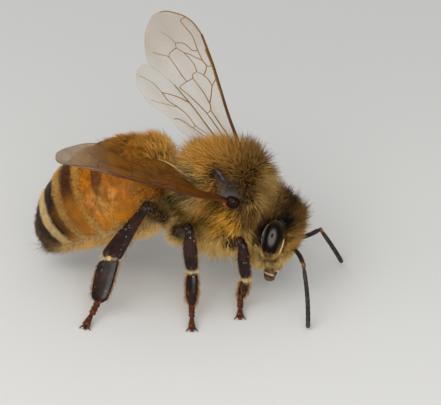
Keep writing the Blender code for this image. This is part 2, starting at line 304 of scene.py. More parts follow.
class Shell:
    """Closed bodies gathered into one mesh."""

    def __init__(self) -> None:
        """Starts with nothing in it."""
        self.points: list[np.ndarray] = []
        self.places: list[np.ndarray] = []
        self.faces: list[tuple[int, ...]] = []
        self.count = 0

    def _take(self, points: np.ndarray, place: np.ndarray) -> int:
        """Adds points.

        Args:
            points: The points.
            place: Their places.

        Returns:
            The number of the first.
        """
        first = self.count
        self.points.append(points.reshape(-1, 3))
        self.places.append(place.reshape(-1, 3))
        self.count += len(self.points[-1])
        return first

    def _join(self, near: np.ndarray, far: np.ndarray) -> None:
        """Joins each ring of points to the ring after it with a closed row of faces."""
        quads = np.stack([near, np.roll(near, -1, axis=1), np.roll(far, -1, axis=1), far], axis=-1)
        self.faces += [tuple(quad) for quad in quads.reshape(-1, 4).tolist()]

    def add(self, grid: Grid) -> "Shell":
        """Adds a skin, closed round and capped at both ends.

        Args:
            grid: The skin.

        Returns:
            This shell.
        """
        rows, columns = grid.points.shape[:2]
        index = self._take(grid.points, grid.place) + np.arange(rows * columns).reshape(rows, columns)
        self._join(index[:-1], index[1:])
        for row, ring in ((0, index[0]), (-1, index[-1][::-1])):
            pole = self._take(grid.points[row].mean(axis=0), grid.place[row].mean(axis=0))
            self.faces += [(pole, int(b), int(a)) for a, b in zip(ring, np.roll(ring, -1))]
        return self

    def add_ring(self, path: np.ndarray, radius: float, sides: int = 8) -> "Shell":
        """Adds a round tube bent into a closed ring.

        Args:
            path: The points of its middle line, the last beside the first.
            radius: Its half thickness.
            sides: How many faces go round the tube.

        Returns:
            This shell.
        """
        outward = unit(path - path.mean(axis=0))
        other = np.cross(unit(np.roll(path, -1, axis=0) - np.roll(path, 1, axis=0)), outward)
        angle = 2 * np.pi * np.arange(sides) / sides
        points = path[:, None] + radius * (np.cos(angle)[None, :, None] * outward[:, None]
                                           + np.sin(angle)[None, :, None] * other[:, None])
        index = self._take(points, points) + np.arange(len(path) * sides).reshape(-1, sides)
        self._join(index, np.roll(index, -1, axis=0))
        return self

    def add_slab(self, sheet: np.ndarray, place: np.ndarray, lift: np.ndarray) -> "Shell":
        """Adds a thin closed slab.

        Args:
            sheet: Rows by columns of points on its middle.
            place: What its markings read at each point.
            lift: The way from its middle to its upper face.

        Returns:
            This shell.
        """
        rows, columns = sheet.shape[:2]
        size = rows * columns
        index = np.arange(size).reshape(rows, columns)
        upper = self._take(sheet + lift, place) + index
        lower = self._take(sheet - lift, place) + index
        for layer, order in ((upper, (0, 1, 2, 3)), (lower, (3, 2, 1, 0))):
            corners = (layer[:-1, :-1], layer[:-1, 1:], layer[1:, 1:], layer[1:, :-1])
            quads = np.stack([corners[i] for i in order], axis=-1).reshape(-1, 4)
            self.faces += [tuple(quad) for quad in quads.tolist()]
        rim = np.concatenate([index[0, :-1], index[:-1, -1], index[-1, :0:-1], index[:0:-1, 0]])
        first_upper, first_lower = int(upper[0, 0]), int(lower[0, 0])
        self.faces += [(int(a) + first_upper, int(a) + first_lower, int(b) + first_lower,
                        int(b) + first_upper) for a, b in zip(rim, np.roll(rim, -1))]
        return self

    def mesh(self, name: str) -> bpy.types.Mesh:
        """Makes the mesh, in metres, with its faces pointing outwards and a place at each point.

        Args:
            name: The mesh's name.

        Returns:
            The mesh.
        """
        mesh = bpy.data.meshes.new(name)
        mesh.from_pydata(in_frame(np.vstack(self.points)).tolist(), [], self.faces)
        attribute = mesh.attributes.new("place", "FLOAT_VECTOR", "POINT")
        attribute.data.foreach_set("vector", np.vstack(self.places).astype(np.float32).ravel())
        work = bmesh.new()
        work.from_mesh(mesh)
        bmesh.ops.recalc_face_normals(work, faces=work.faces)
        work.to_mesh(mesh)
        work.free()
        mesh.shade_smooth()
        return mesh


def add_piece(name: str, body: bpy.types.Mesh | Shell | Grid, material: Material, nodes: Sequence[str]) -> None:
    """Puts a finished body in the scene as a piece of the bee.

    Args:
        name: The piece's name.
        body: Its mesh, or the shell or the single skin that the mesh is made from.
        material: Its finish.
        nodes: The solids it stands for.
    """
    if isinstance(body, Grid):
        body = Shell().add(body)
    mesh = body.mesh(name) if isinstance(body, Shell) else body
    piece = bpy.data.objects.new(name, mesh)
    if not mesh.materials:
        mesh.materials.append(material)
    bpy.context.scene.collection.objects.link(piece)
    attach(piece, BODY)
    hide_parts(*nodes)
    mesh.calc_loop_triangles()
    LOG.info("%s: %d triangles", name, len(mesh.loop_triangles))


# ---------------------------------------------------------------------------------------- node building


class Graph:
    """A short way to add and join the nodes of one tree."""

    def __init__(self, tree: bpy.types.NodeTree) -> None:
        """Takes the tree that is built."""
        self.tree = tree

    def node(self, kind: str, inputs: dict[str | int, Feed] | None = None,
             **settings: object) -> bpy.types.Node:
        """Adds a node.

        Args:
            kind: The node's type.
            inputs: What each named or numbered input is joined to or set to.
            settings: The node's own properties.

        Returns:
            The node.
        """
        node = self.tree.nodes.new(kind)
        for name, value in settings.items():
            setattr(node, name, value)
        self.fill(node, inputs or {})
        return node

    def feed(self, target: Socket, value: Feed) -> None:
        """Joins an input to a socket, or sets it to a plain value.

        Args:
            target: The input.
            value: The socket or the value; a colour is given as three.
        """
        if isinstance(value, Socket):
            self.tree.links.new(value, target)
        else:
            target.default_value = (*value, 1.0) if target.type == "RGBA" else value

    def fill(self, node: bpy.types.Node, inputs: dict[str | int, Feed]) -> None:
        """Joins or sets several inputs of a node."""
        for key, value in inputs.items():
            self.feed(node.inputs[key], value)

    def math(self, operation: str, first: Feed, second: Feed = 0.0, clamp: bool = False) -> Socket:
        """Works out one sum on values."""
        return self.node("ShaderNodeMath", {0: first, 1: second}, operation=operation,
                         use_clamp=clamp).outputs[0]

    def add(self, first: Feed, second: Feed, clamp: bool = False) -> Socket:
        """Adds two values."""
        return self.math("ADD", first, second, clamp)

    def minus(self, first: Feed, second: Feed) -> Socket:
        """Takes the second value from the first."""
        return self.math("SUBTRACT", first, second)

    def times(self, first: Feed, second: Feed) -> Socket:
        """Multiplies two values."""
        return self.math("MULTIPLY", first, second)

    def vector(self, operation: str, first: Feed, second: Feed) -> Socket:
        """Works out one sum on vectors."""
        return self.node("ShaderNodeVectorMath", {0: first, 1: second}, operation=operation).outputs[0]

    def scaled(self, vector: Feed, factor: Feed) -> Socket:
        """Multiplies a vector or a colour by a value."""
        return self.node("ShaderNodeVectorMath", {0: vector, "Scale": factor}, operation="SCALE").outputs[0]

    def combine(self, *values: Feed) -> Socket:
        """Joins values into a place."""
        return self.node("ShaderNodeCombineXYZ", dict(enumerate(values))).outputs[0]

    def rise(self, value: Feed, low: float, high: float) -> Socket:
        """Rises smoothly from 0 at low to 1 at high; low may be the larger.

        Args:
            value: What is measured.
            low: Where the result is 0.
            high: Where the result is 1.

        Returns:
            The risen share.
        """
        ends = (low, high, 0.0, 1.0) if low < high else (high, low, 1.0, 0.0)
        names = ("From Min", "From Max", "To Min", "To Max")
        return self.node("ShaderNodeMapRange", {"Value": value, **dict(zip(names, ends))},
                         interpolation_type="SMOOTHSTEP").outputs[0]

    def spot(self, place: Feed, centre: Sequence[float], reach: Sequence[float]) -> Socket:
        """Marks a soft ellipsoid.

        Args:
            place: Where the surface is.
            centre: The middle of the mark.
            reach: Its half sizes.

        Returns:
            A mask, 1 in the middle and 0 outside.
        """
        share = self.vector("DIVIDE", self.vector("SUBTRACT", place, centre), reach)
        length = self.node("ShaderNodeVectorMath", {0: share}, operation="LENGTH").outputs["Value"]
        return self.rise(length, 1.0, 0.45)

    def spots(self, place: Feed, colour: Feed, table: Sequence[Rows]) -> Socket:
        """Mixes soft spots into a colour."""
        for centre, reach, tint in table:
            colour = self.mix(self.spot(place, centre, reach), colour, tint)
        return colour

    def mix(self, factor: Feed, first: Feed, second: Feed, blend: str = "MIX") -> Socket:
        """Mixes two colours."""
        return self.node("ShaderNodeMix", {0: factor, 6: first, 7: second}, data_type="RGBA",
                         blend_type=blend).outputs[2]

    def ramp(self, value: Feed, stops: Rows) -> Socket:
        """Reads a colour from a run of stops.

        Args:
            value: The place on the run.
            stops: A place and three colour values for each stop.

        Returns:
            The colour.
        """
        node = self.node("ShaderNodeValToRGB", {0: value})
        elements = node.color_ramp.elements
        for i, (place, *colour) in enumerate(stops):
            element = elements[i] if i < 2 else elements.new(place)
            element.position = place
            element.color = (*colour, 1.0)
        return node.outputs[0]

    def noise(self, place: Feed, scale: float | Socket, detail: float = 3.0,
              roughness: float = 0.55) -> Socket:
        """Reads a cloudy value."""
        return self.node("ShaderNodeTexNoise", {"Vector": place, "Scale": scale, "Detail": detail,
                                                "Roughness": roughness}).outputs[0]

    def sway(self, place: Feed, scale: float, reach: float) -> Socket:
        """Wavers about 0 with a cloudy value."""
        return self.times(self.minus(self.noise(place, scale), 0.5), reach)

    def bump(self, height: Feed, strength: float, distance: float, invert: bool = False) -> Socket:
        """Tilts the surface by a height."""
        return self.node("ShaderNodeBump", {"Strength": strength, "Distance": distance * MM,
                                            "Height": height}, invert=invert).outputs["Normal"]

    def group(self, name: str, inputs: dict[str, Feed]) -> bpy.types.NodeOutputs:
        """Places a shared group and gives what it puts out."""
        return self.node("ShaderNodeGroup", inputs, node_tree=bpy.data.node_groups[name]).outputs

    def axes(self, place: Feed) -> tuple[Socket, ...]:
        """Splits a place into its three values."""
        return tuple(self.node("ShaderNodeSeparateXYZ", {0: place}).outputs)

    def attribute(self, name: str, output: str) -> Socket:
        """Reads an attribute of the piece."""
        return self.node("ShaderNodeAttribute", attribute_name=name).outputs[output]

    def object_mm(self) -> Socket:
        """Reads the piece's own coordinates, in millimetres."""
        coordinates = self.node("ShaderNodeTexCoord").outputs["Object"]
        return self.scaled(coordinates, 1 / MM)


def make_group(name: str, inputs: dict[str, tuple[str, Feed | None]],
               outputs: dict[str, str]) -> tuple[Graph, bpy.types.NodeOutputs, bpy.types.Node]:
    """Starts a shader group with named inputs and outputs.

    Args:
        name: The group's name.
        inputs: The kind and default of each input.
        outputs: The kind of each output.

    Returns:
        The graph to build in, what comes in and the node that takes the outputs.
    """
    tree = bpy.data.node_groups.new(name, "ShaderNodeTree")
    for label, (kind, value) in inputs.items():
        socket = tree.interface.new_socket(label, in_out="INPUT", socket_type=f"NodeSocket{kind}")
        if value is not None:
            socket.default_value = (*value, 1.0) if kind == "Color" else value
    for label, kind in outputs.items():
        tree.interface.new_socket(label, in_out="OUTPUT", socket_type=f"NodeSocket{kind}")
    graph = Graph(tree)
    return graph, graph.node("NodeGroupInput").outputs, graph.node("NodeGroupOutput")


# ------------------------------------------------------------------------------------- shared patterns


class Marks(Enum):
    """The groups that give the bee's markings, with some painted shade and a painted highlight, read by skins
    and coats alike.
    """

    TRUNK = "TrunkMarks"
    HEAD = "HeadMarks"
    ABDOMEN = "AbdomenMarks"
    LIMB = "LimbMarks"


DUST: Colour = (0.62, 0.57, 0.48)
BODY_IOR = 1.3          # of cuticle, eyes and wings, which mirror little
GRAIN = "CuticleGrain"
HAIR_TONE = "HairTone"


def make_grain_group() -> None:
    """Builds the grain, the cloudy darkening and the loose dust that all cuticle shares."""
    graph, entry, leave = make_group(
        GRAIN,
        {"Place": ("Vector", None), "Mottle Scale": ("Float", 2.0), "Grain Scale": ("Float", 30.0),
         "Dust Amount": ("Float", 0.0)},
        {"Mottle": "Float", "Height": "Float", "Dust": "Float"},
    )
    place, fineness = entry["Place"], entry["Grain Scale"]
    clouds = graph.noise(place, entry["Mottle Scale"], 4.0)
    pits = graph.node("ShaderNodeTexVoronoi", {"Vector": place, "Scale": fineness}).outputs
    specks = graph.node("ShaderNodeTexVoronoi", {"Vector": place, "Scale": 5.5}).outputs
    luck = graph.node("ShaderNodeSeparateColor", {0: specks["Color"]}).outputs[0]
    reach = graph.times(graph.times(luck, entry["Dust Amount"]), 0.16)
    graph.fill(leave, {
        "Mottle": graph.rise(clouds, 0.36, 0.66),
        "Height": graph.add(graph.times(pits["Distance"], 0.6), graph.noise(place, fineness, 2.0)),
        "Dust": graph.math("LESS_THAN", specks["Distance"], reach),
    })


def make_hair_tone_group() -> None:
    """Builds each hair's tone: painted shade at its root, painted light through its tip and unlike neighbours.
    """
    graph, entry, leave = make_group(
        HAIR_TONE,
        {"Colour": ("Color", (0.5, 0.3, 0.1)), "Along": ("Float", 0.5), "Shade": ("Float", 0.5),
         "Root Shade": ("Float", 0.4), "Tip Paleness": ("Float", 0.2), "Variety": ("Float", 0.4)},
        {"Colour": "Color"},
    )
    colour, along, root = entry["Colour"], entry["Along"], entry["Root Shade"]
    # painted shade: the hair darkens towards its root, where the coat shades it
    rooted = graph.add(root, graph.times(graph.rise(along, 0.05, 0.80), graph.minus(1.0, root)))
    luck = graph.times(graph.minus(entry["Shade"], 0.5), entry["Variety"])
    shaded = graph.scaled(colour, graph.times(rooted, graph.add(1.0, luck)))
    # painted light: the tip pales as if light shone through it
    paleness = graph.times(graph.rise(along, 0.5, 1.0), entry["Tip Paleness"])
    pale = graph.mix(0.30, graph.scaled(colour, 1.7), (0.74, 0.58, 0.32))
    graph.fill(leave, {"Colour": graph.mix(paleness, shaded, pale)})


def start_marks(marks: Marks, *outputs: str) -> tuple[Graph, Socket, bpy.types.Node]:
    """Starts a group of markings.

    Args:
        marks: Which markings they are.
        outputs: The colours that it gives beside the skin's.

    Returns:
        The graph to build in, the place that it reads and the node that takes the colours.
    """
    labels = ("Colour", *outputs)
    graph, entry, leave = make_group(marks.value, {"Place": ("Vector", None)}, dict.fromkeys(labels, "Color"))
    return graph, entry["Place"], leave


# Soft spots on both sides of the trunk and of the head: middle, half sizes and colour.
TRUNK_SPOTS = (
    ((0.70, 1.75, 4.15), (0.70, 0.9, 0.95), (0.84, 0.42, 0.045)),
    ((-1.70, 1.2, 4.65), (0.60, 0.9, 0.50), (0.07, 0.045, 0.014)),
    ((-0.75, 1.6, 5.15), (0.60, 0.5, 0.7), (0.66, 0.42, 0.12)),
    ((1.45, 1.5, 4.35), (0.5, 0.6, 0.7), (0.20, 0.10, 0.022)),
    ((0.80, 1.50, 5.55), (0.60, 0.50, 0.55), (0.11, 0.060, 0.028)),
)
HEAD_SPOTS = (
    ((-0.52, 1.15, 0.50), (0.44, 0.80, 0.95), (0.055, 0.024, 0.007)),
    ((0.1, 1.25, -0.95), (0.9, 0.7, 0.5), (0.72, 0.50, 0.20)),
    ((0.30, 1.40, -0.50), (0.42, 0.50, 0.20), (0.30, 0.15, 0.030)),
    ((0.26, 1.05, 1.32), (0.60, 0.50, 0.42), (0.020, 0.011, 0.005)),
    ((0.22, 0.12, 1.58), (0.26, 0.42, 0.30), (0.020, 0.010, 0.004)),
    ((0.45, 0.78, -1.26), (0.34, 0.28, 0.15), (0.05, 0.033, 0.020)),
)


def make_trunk_marks() -> None:
    """Builds the colours of the trunk and its coat, by place in the bee's axes."""
    graph, place, leave = start_marks(Marks.TRUNK)
    x, y, z = graph.axes(place)
    sway = graph.sway(place, 1.1, 1.6)
    ahead, height = graph.add(x, sway), graph.add(z, sway)
    colour = graph.mix(graph.rise(ahead, 1.3, -0.5), (0.22, 0.105, 0.018), (0.53, 0.245, 0.034))
    colour = graph.mix(graph.rise(ahead, -0.8, -1.8), colour, (0.52, 0.37, 0.13))
    colour = graph.mix(graph.rise(height, 5.2, 4.3), colour, (0.34, 0.18, 0.030))
    colour = graph.mix(graph.rise(height, 4.0, 3.0), colour, (0.90, 0.58, 0.19))
    # paler front edge: partly the pale collar hair, partly painted light shining through the hair tips at the
    # outline
    colour = graph.mix(graph.rise(ahead, 1.42, 2.0), colour, (0.70, 0.45, 0.15))
    mirrored = graph.combine(ahead, graph.math("ABSOLUTE", y), height)
    colour = graph.spots(mirrored, colour, TRUNK_SPOTS)
    behind = graph.spot(mirrored, (-0.95, 1.20, 5.50), (1.1, 0.85, 0.90))
    colour = graph.mix(graph.times(behind, 0.8), colour, (0.74, 0.50, 0.18))
    # painted shade: dark patches in the rear coat stand for the shade in the gaps between hair clumps
    gap_shade = graph.rise(graph.noise(place, 2.4, 2.0), 0.56, 0.47)
    graph.fill(leave, {"Colour": graph.mix(graph.times(gap_shade, behind), colour, (0.06, 0.034, 0.012))})


def make_head_marks() -> None:
    """Builds the colours of the head and its coat, by place in the head's axes."""
    graph, place, leave = start_marks(Marks.HEAD)
    x, y, z = graph.axes(place)
    height = graph.add(z, graph.sway(place, 1.6, 0.9))
    colour = graph.mix(graph.rise(height, 0.3, -0.8), (0.50, 0.275, 0.065), (0.98, 0.66, 0.24))
    crown = graph.mix(graph.rise(x, -0.10, -0.42), (0.055, 0.023, 0.004), (0.24, 0.125, 0.030))
    crown = graph.mix(graph.rise(x, 0.18, 0.50), crown, (0.165, 0.074, 0.011))
    colour = graph.mix(graph.rise(height, 0.45, 1.10), colour, crown)
    rear = graph.times(graph.rise(x, -0.1, -0.7), graph.rise(height, 1.0, 0.3))
    colour = graph.mix(rear, colour, (0.54, 0.33, 0.08))
    mirrored = graph.combine(x, graph.math("ABSOLUTE", y), z)
    graph.fill(leave, {"Colour": graph.spots(mirrored, colour, HEAD_SPOTS)})


# Colour along the top of the abdomen: place from the waist to the tip, then the colour there.
BACK_BANDS = (
    (0.00, 0.10, 0.034, 0.002), (0.04, 0.30, 0.092, 0.002), (0.13, 0.30, 0.088, 0.002),
    (0.145, 0.06, 0.018, 0.003), (0.160, 0.30, 0.092, 0.002), (0.33, 0.36, 0.110, 0.002),
    (0.355, 0.12, 0.032, 0.003), (0.415, 0.08, 0.020, 0.004), (0.425, 0.37, 0.108, 0.000),
    (0.50, 0.34, 0.095, 0.001), (0.53, 0.09, 0.025, 0.004), (0.615, 0.035, 0.010, 0.005),
    (0.625, 0.24, 0.090, 0.014), (0.665, 0.10, 0.034, 0.007), (0.685, 0.020, 0.008, 0.004),
    (0.76, 0.014, 0.007, 0.004), (0.77, 0.16, 0.080, 0.022), (0.81, 0.07, 0.032, 0.010),
    (0.82, 0.013, 0.007, 0.004), (1.00, 0.020, 0.011, 0.006),
)
# Colour of the coat on the same places.
BACK_COAT = (
    (0.00, 0.70, 0.38, 0.08), (0.15, 0.64, 0.30, 0.04), (0.30, 0.62, 0.26, 0.025),
    (0.36, 0.58, 0.30, 0.08), (0.43, 0.90, 0.44, 0.08), (0.53, 0.90, 0.45, 0.09),
    (0.545, 0.12, 0.050, 0.014), (0.62, 0.76, 0.41, 0.11), (0.68, 0.80, 0.47, 0.14),
    (0.69, 0.045, 0.023, 0.010), (0.755, 1.0, 0.74, 0.36), (0.815, 1.0, 0.72, 0.34),
    (0.83, 0.06, 0.034, 0.015), (0.88, 0.26, 0.16, 0.07), (1.00, 0.16, 0.09, 0.035),
)
# Colour of the belly and of its coat on the same places.
BELLY_BANDS = (
    (0.0, 0.38, 0.135, 0.008), (0.5, 0.50, 0.175, 0.008), (0.78, 0.36, 0.13, 0.016),
    (0.90, 0.06, 0.03, 0.012),
)
BELLY_COAT = (
    (0.0, 0.86, 0.58, 0.22), (0.6, 0.92, 0.56, 0.19), (0.84, 0.78, 0.50, 0.20), (0.92, 0.18, 0.11, 0.05),
)
# Dark spots on the back, by share along and share round: middle, half sizes and colour.
BACK_SPOTS = (
    ((0.268, 0.0, 0.0), (0.062, 0.22, 1.0), (0.055, 0.018, 0.005)),
    ((0.386, 0.27, 0.0), (0.040, 0.17, 1.0), (0.10, 0.030, 0.005)),
)
# How much further back the bands lie low on the flank than on the back.
BAND_SLANT = 0.018


def make_abdomen_marks() -> None:
    """Builds the bands of the abdomen; a place is the share along, the share round and the plate's share."""
    graph, place, leave = start_marks(Marks.ABDOMEN, "Coat Colour")
    along, around, _ = graph.axes(place)
    spread = graph.vector("MULTIPLY", place, (7.0, 5.0, 0.0))
    station = graph.add(along, graph.sway(spread, 2.2, 0.035))
    station = graph.minus(station, graph.times(graph.rise(around, 0.12, 0.42), BAND_SLANT))
    low = graph.rise(graph.add(around, graph.times(along, -0.22)), 0.33, 0.52)
    belly = graph.ramp(station, BELLY_BANDS)
    patches = graph.rise(graph.noise(spread, 3.4, 4.0), 0.34, 0.68)
    back = graph.scaled(graph.ramp(station, BACK_BANDS), graph.add(0.60, graph.times(patches, 0.72)))
    warm = graph.times(graph.rise(around, 0.25, 0.36), graph.rise(along, 0.80, 0.60))
    back = graph.mix(warm, back, (0.255, 0.094, 0.008), "LIGHTEN")
    back = graph.spots(graph.combine(station, around), back, BACK_SPOTS)
    # pale cream patches on the lower flank: partly the pale felt there, partly a painted highlight on the
    # plates
    cream_and_highlight = graph.times(graph.rise(along, 0.24, 0.34), graph.rise(along, 0.54, 0.44))
    cream_and_highlight = graph.times(cream_and_highlight, graph.times(graph.rise(around, 0.30, 0.42), patches))
    back = graph.mix(graph.times(cream_and_highlight, 0.58), back, (0.66, 0.36, 0.10))
    coat = graph.mix(low, graph.ramp(station, BACK_COAT), graph.ramp(station, BELLY_COAT))
    graph.fill(leave, {"Colour": graph.mix(low, back, belly), "Coat Colour": coat})


# Colour of the hair along a leg, over its five lengths.
LIMB_COAT = (
    (0.00, 0.80, 0.54, 0.19), (0.20, 0.52, 0.34, 0.12), (0.32, 0.20, 0.12, 0.04), (0.44, 0.40, 0.22, 0.07),
    (0.562, 0.46, 0.27, 0.09), (0.572, 1.0, 0.80, 0.44), (0.606, 1.0, 0.74, 0.34), (0.625, 0.50, 0.22, 0.06),
    (0.78, 0.52, 0.22, 0.06), (1.00, 0.46, 0.18, 0.05),
)


def make_limb_marks() -> None:
    """Builds the colours of the leg's hair; a place starts with the number of the length plus the share."""
    graph, place, leave = start_marks(Marks.LIMB)
    along = graph.math("DIVIDE", graph.axes(place)[0], len(Length))
    graph.fill(leave, {"Colour": graph.ramp(along, LIMB_COAT)})


# -------------------------------------------------------------------------------------------- finishes


def new_material(name: str) -> tuple[Material, Graph, bpy.types.Node]:
    """Starts a node material.

    Args:
        name: Its name.

    Returns:
        The material, its graph and its shader.
    """
    material = bpy.data.materials.new(name)
    material.use_nodes = True
    graph = Graph(material.node_tree)
    return material, graph, material.node_tree.nodes["Principled BSDF"]


@dataclass(frozen=True)
class CuticleFinish:
    """Bare shell: cloudy darkening, fine grain and a few specks of dust.

    Args:
        name: The material's name.
        base: Its lighter colour.
        dark: Its darker colour.
        roughness: How dull it is.
        mottle: How many clouds of darkening lie in a millimetre.
        grain: How many pits lie in a millimetre.
        depth: The strength of the grain.
        dust: How much dust lies on it.
        gloss: The weight of its clear outer layer.
        shine: How strongly its surface mirrors, 0.5 being usual.
    """

    name: str
    base: Colour
    dark: Colour
    roughness: float = 0.30
    mottle: float = 2.0
    grain: float = 26.0
    depth: float = 0.25
    dust: float = 0.0
    gloss: float = 0.08
    shine: float = 0.22

    def dress(self, graph: Graph, shader: bpy.types.Node, colour: Feed | None = None) -> None:
        """Joins the grain, dust and colour to a shader.

        Args:
            graph: The material's graph.
            shader: Its shader.
            colour: A colour to use in place of the plain mix of base and dark.
        """
        grain = graph.group(GRAIN, {"Place": graph.object_mm(), "Mottle Scale": self.mottle,
                                    "Grain Scale": self.grain, "Dust Amount": self.dust})
        mottle, dust = grain["Mottle"], grain["Dust"]
        if colour is None:
            colour = graph.mix(mottle, self.base, self.dark)
        else:
            colour = graph.mix(graph.times(mottle, 0.30), colour, self.dark)
        rough = graph.add(self.roughness, graph.times(mottle, 0.10))
        graph.fill(shader, {"Base Color": graph.mix(graph.times(dust, 0.75), colour, DUST),
                            "Roughness": graph.add(rough, graph.times(dust, 0.4), clamp=True),
                            "Normal": graph.bump(grain["Height"], self.depth, 0.01), "IOR": BODY_IOR,
                            "Specular IOR Level": self.shine, "Coat Weight": self.gloss,
                            "Coat Roughness": 0.18})

    def make(self) -> Material:
        """Makes the finish's material."""
        material, graph, shader = new_material(self.name)
        self.dress(graph, shader)
        return material


@dataclass(frozen=True)
class MarkedFinish(CuticleFinish):
    """Bare shell that carries a part's markings.

    Args:
        marks: The group that gives them.
        share: How much of the markings' lightness the skin keeps under a coat.
    """

    marks: Marks = Marks.TRUNK
    share: float = 1.0

    def make(self) -> Material:
        """Makes the finish.

        Returns:
            Its material.
        """
        material, graph, shader = new_material(self.name)
        marks = graph.group(self.marks.value, {"Place": graph.attribute("place", "Vector")})
        self.dress(graph, shader, graph.mix(1 - self.share, marks["Colour"], self.dark))
        return material


@dataclass(frozen=True)
class VeinFinish(CuticleFinish):
    """Shell of the wing veins, in a colour of its own where a vein is thin.

    Args:
        thin: The colour of the thinnest veins.
    """

    thin: Colour = (0.10, 0.034, 0.008)

    def make(self) -> Material:
        """Makes the finish.

        Returns:
            Its material.
        """
        material, graph, shader = new_material(self.name)
        radius = graph.axes(graph.attribute("place", "Vector"))[2]
        self.dress(graph, shader, graph.mix(graph.rise(radius, 0.028, 0.072), self.thin, self.base))
        return material


@dataclass(frozen=True)
class CoatFinish:
    """Hair, darker at the root and paler at the tip, in the colours of the part it grows on.

    Args:
        name: The material's name.
        marks: The group that gives its colours.
        output: Which colour of that group it reads.
        root_shade: How light the root is against the rest, under its painted shade.
        tip_paleness: How far the tip turns pale with painted light.
        variety: How much hairs differ in lightness.
        roughness: How dull it is.
        strands: How many strands of unlike lightness lie in one unit of the marks' place.
    """

    name: str
    marks: Marks
    output: str = "Colour"
    root_shade: float = 0.45
    tip_paleness: float = 0.25
    variety: float = 0.6
    roughness: float = 0.65
    strands: float = 4.5

    def make(self) -> Material:
        """Makes the finish.

        Returns:
            Its material.
        """
        material, graph, shader = new_material(self.name)
        place = graph.attribute("place", "Vector")
        marks = graph.group(self.marks.value, {"Place": place})
        _, along, luck = graph.axes(graph.attribute("patch", "Vector"))
        shade = graph.math("FRACT", graph.add(luck, graph.attribute("shade", "Fac")))
        strand = graph.rise(graph.noise(place, self.strands, 2.0), 0.36, 0.64)
        shade = graph.add(graph.times(shade, 0.5), graph.times(strand, 0.5))
        tone = graph.group(HAIR_TONE, {
            "Colour": marks[self.output], "Along": along, "Shade": shade, "Root Shade": self.root_shade,
            "Tip Paleness": self.tip_paleness, "Variety": self.variety})
        rough = graph.add(self.roughness, graph.times(graph.minus(shade, 0.5), 0.2))
        graph.fill(shader, {"Base Color": tone["Colour"], "Roughness": rough, "Specular IOR Level": 0.08})
        return material


# ------------------------------------------------------------------------------------------------ coat


@dataclass(frozen=True)
class TuftSet:
    """A few unlike tufts of tapered, bent hairs, one unit long, rising along Z and bending towards X.

    Args:
        name: The set's name.
        hairs: How many hairs a tuft has.
        thickness: The half width of a hair at its root, against its length.
        gather: How far apart the roots stand, against the length.
        spread: How far the tips lean apart.
        bend: How far a tip bends over.
        steps: How many lengths a hair has.
        variants: How many unlike tufts there are.
        seed: The seed of their chance.
    """

    name: str
    hairs: int = 3
    thickness: float = 0.017
    gather: float = 0.05
    spread: float = 0.16
    bend: float = 0.25
    steps: int = 2
    variants: int = 6
    seed: int = 1

    def _hair(self, chance: np.random.Generator, number: int) -> tuple[list, list, list]:
        """Lays out one hair.

        Args:
            chance: The source of its chance.
            number: Which hair of the tuft it is.

        Returns:
            Its points, its faces and its patch values.
        """
        root = chance.normal(0, self.gather, 2)
        lean = chance.normal(0, self.spread, 2)
        reach = chance.uniform(0.72, 1.0)
        bend = self.bend * chance.uniform(0.5, 1.5)
        turn = chance.uniform(0, 2 * math.pi)
        luck = chance.uniform(0, 1)
        points, patch = [], []
        for level in np.linspace(0, 1, self.steps + 1):
            middle = np.array([root[0] + lean[0] * level + bend * level**2, root[1] + lean[1] * level,
                               reach * level * (1 - 0.35 * bend * level) - 0.03 * (1 - level)])
            radius = self.thickness * (1 - 0.62 * level)
            for corner in range(1 if level == 1 else 3):
                angle = turn + 2 * math.pi * corner / 3
                side = np.array([math.cos(angle), math.sin(angle), 0.0]) * (0 if level == 1 else radius)
                points.append(middle + side)
                patch.append(((number + corner / 3) / self.hairs, level, luck))
        faces = [(2, 1, 0)]
        for step in range(self.steps - 1):
            low, high = 3 * step, 3 * step + 3
            faces += [(low + i, low + (i + 1) % 3, high + (i + 1) % 3, high + i) for i in range(3)]
        low, tip = 3 * (self.steps - 1), 3 * self.steps
        faces += [(low + i, low + (i + 1) % 3, tip) for i in range(3)]
        return points, faces, patch

    def make(self) -> bpy.types.Collection:
        """Makes the tufts.

        Returns:
            The collection that holds them.
        """
        chance = np.random.default_rng(self.seed)
        collection = bpy.data.collections.new(self.name)
        for variant in range(self.variants):
            points, faces, patch = [], [], []
            for number in range(self.hairs):
                hair = self._hair(chance, number)
                faces += [tuple(len(points) + i for i in face) for face in hair[1]]
                points += hair[0]
                patch += hair[2]
            mesh = bpy.data.meshes.new(f"{self.name}_{variant}")
            mesh.from_pydata([tuple(point) for point in points], [], faces)
            attribute = mesh.attributes.new("patch", "FLOAT_VECTOR", "POINT")
            attribute.data.foreach_set("vector", np.array(patch, np.float32).ravel())
            mesh.shade_smooth()
            collection.objects.link(bpy.data.objects.new(mesh.name, mesh))
        return collection


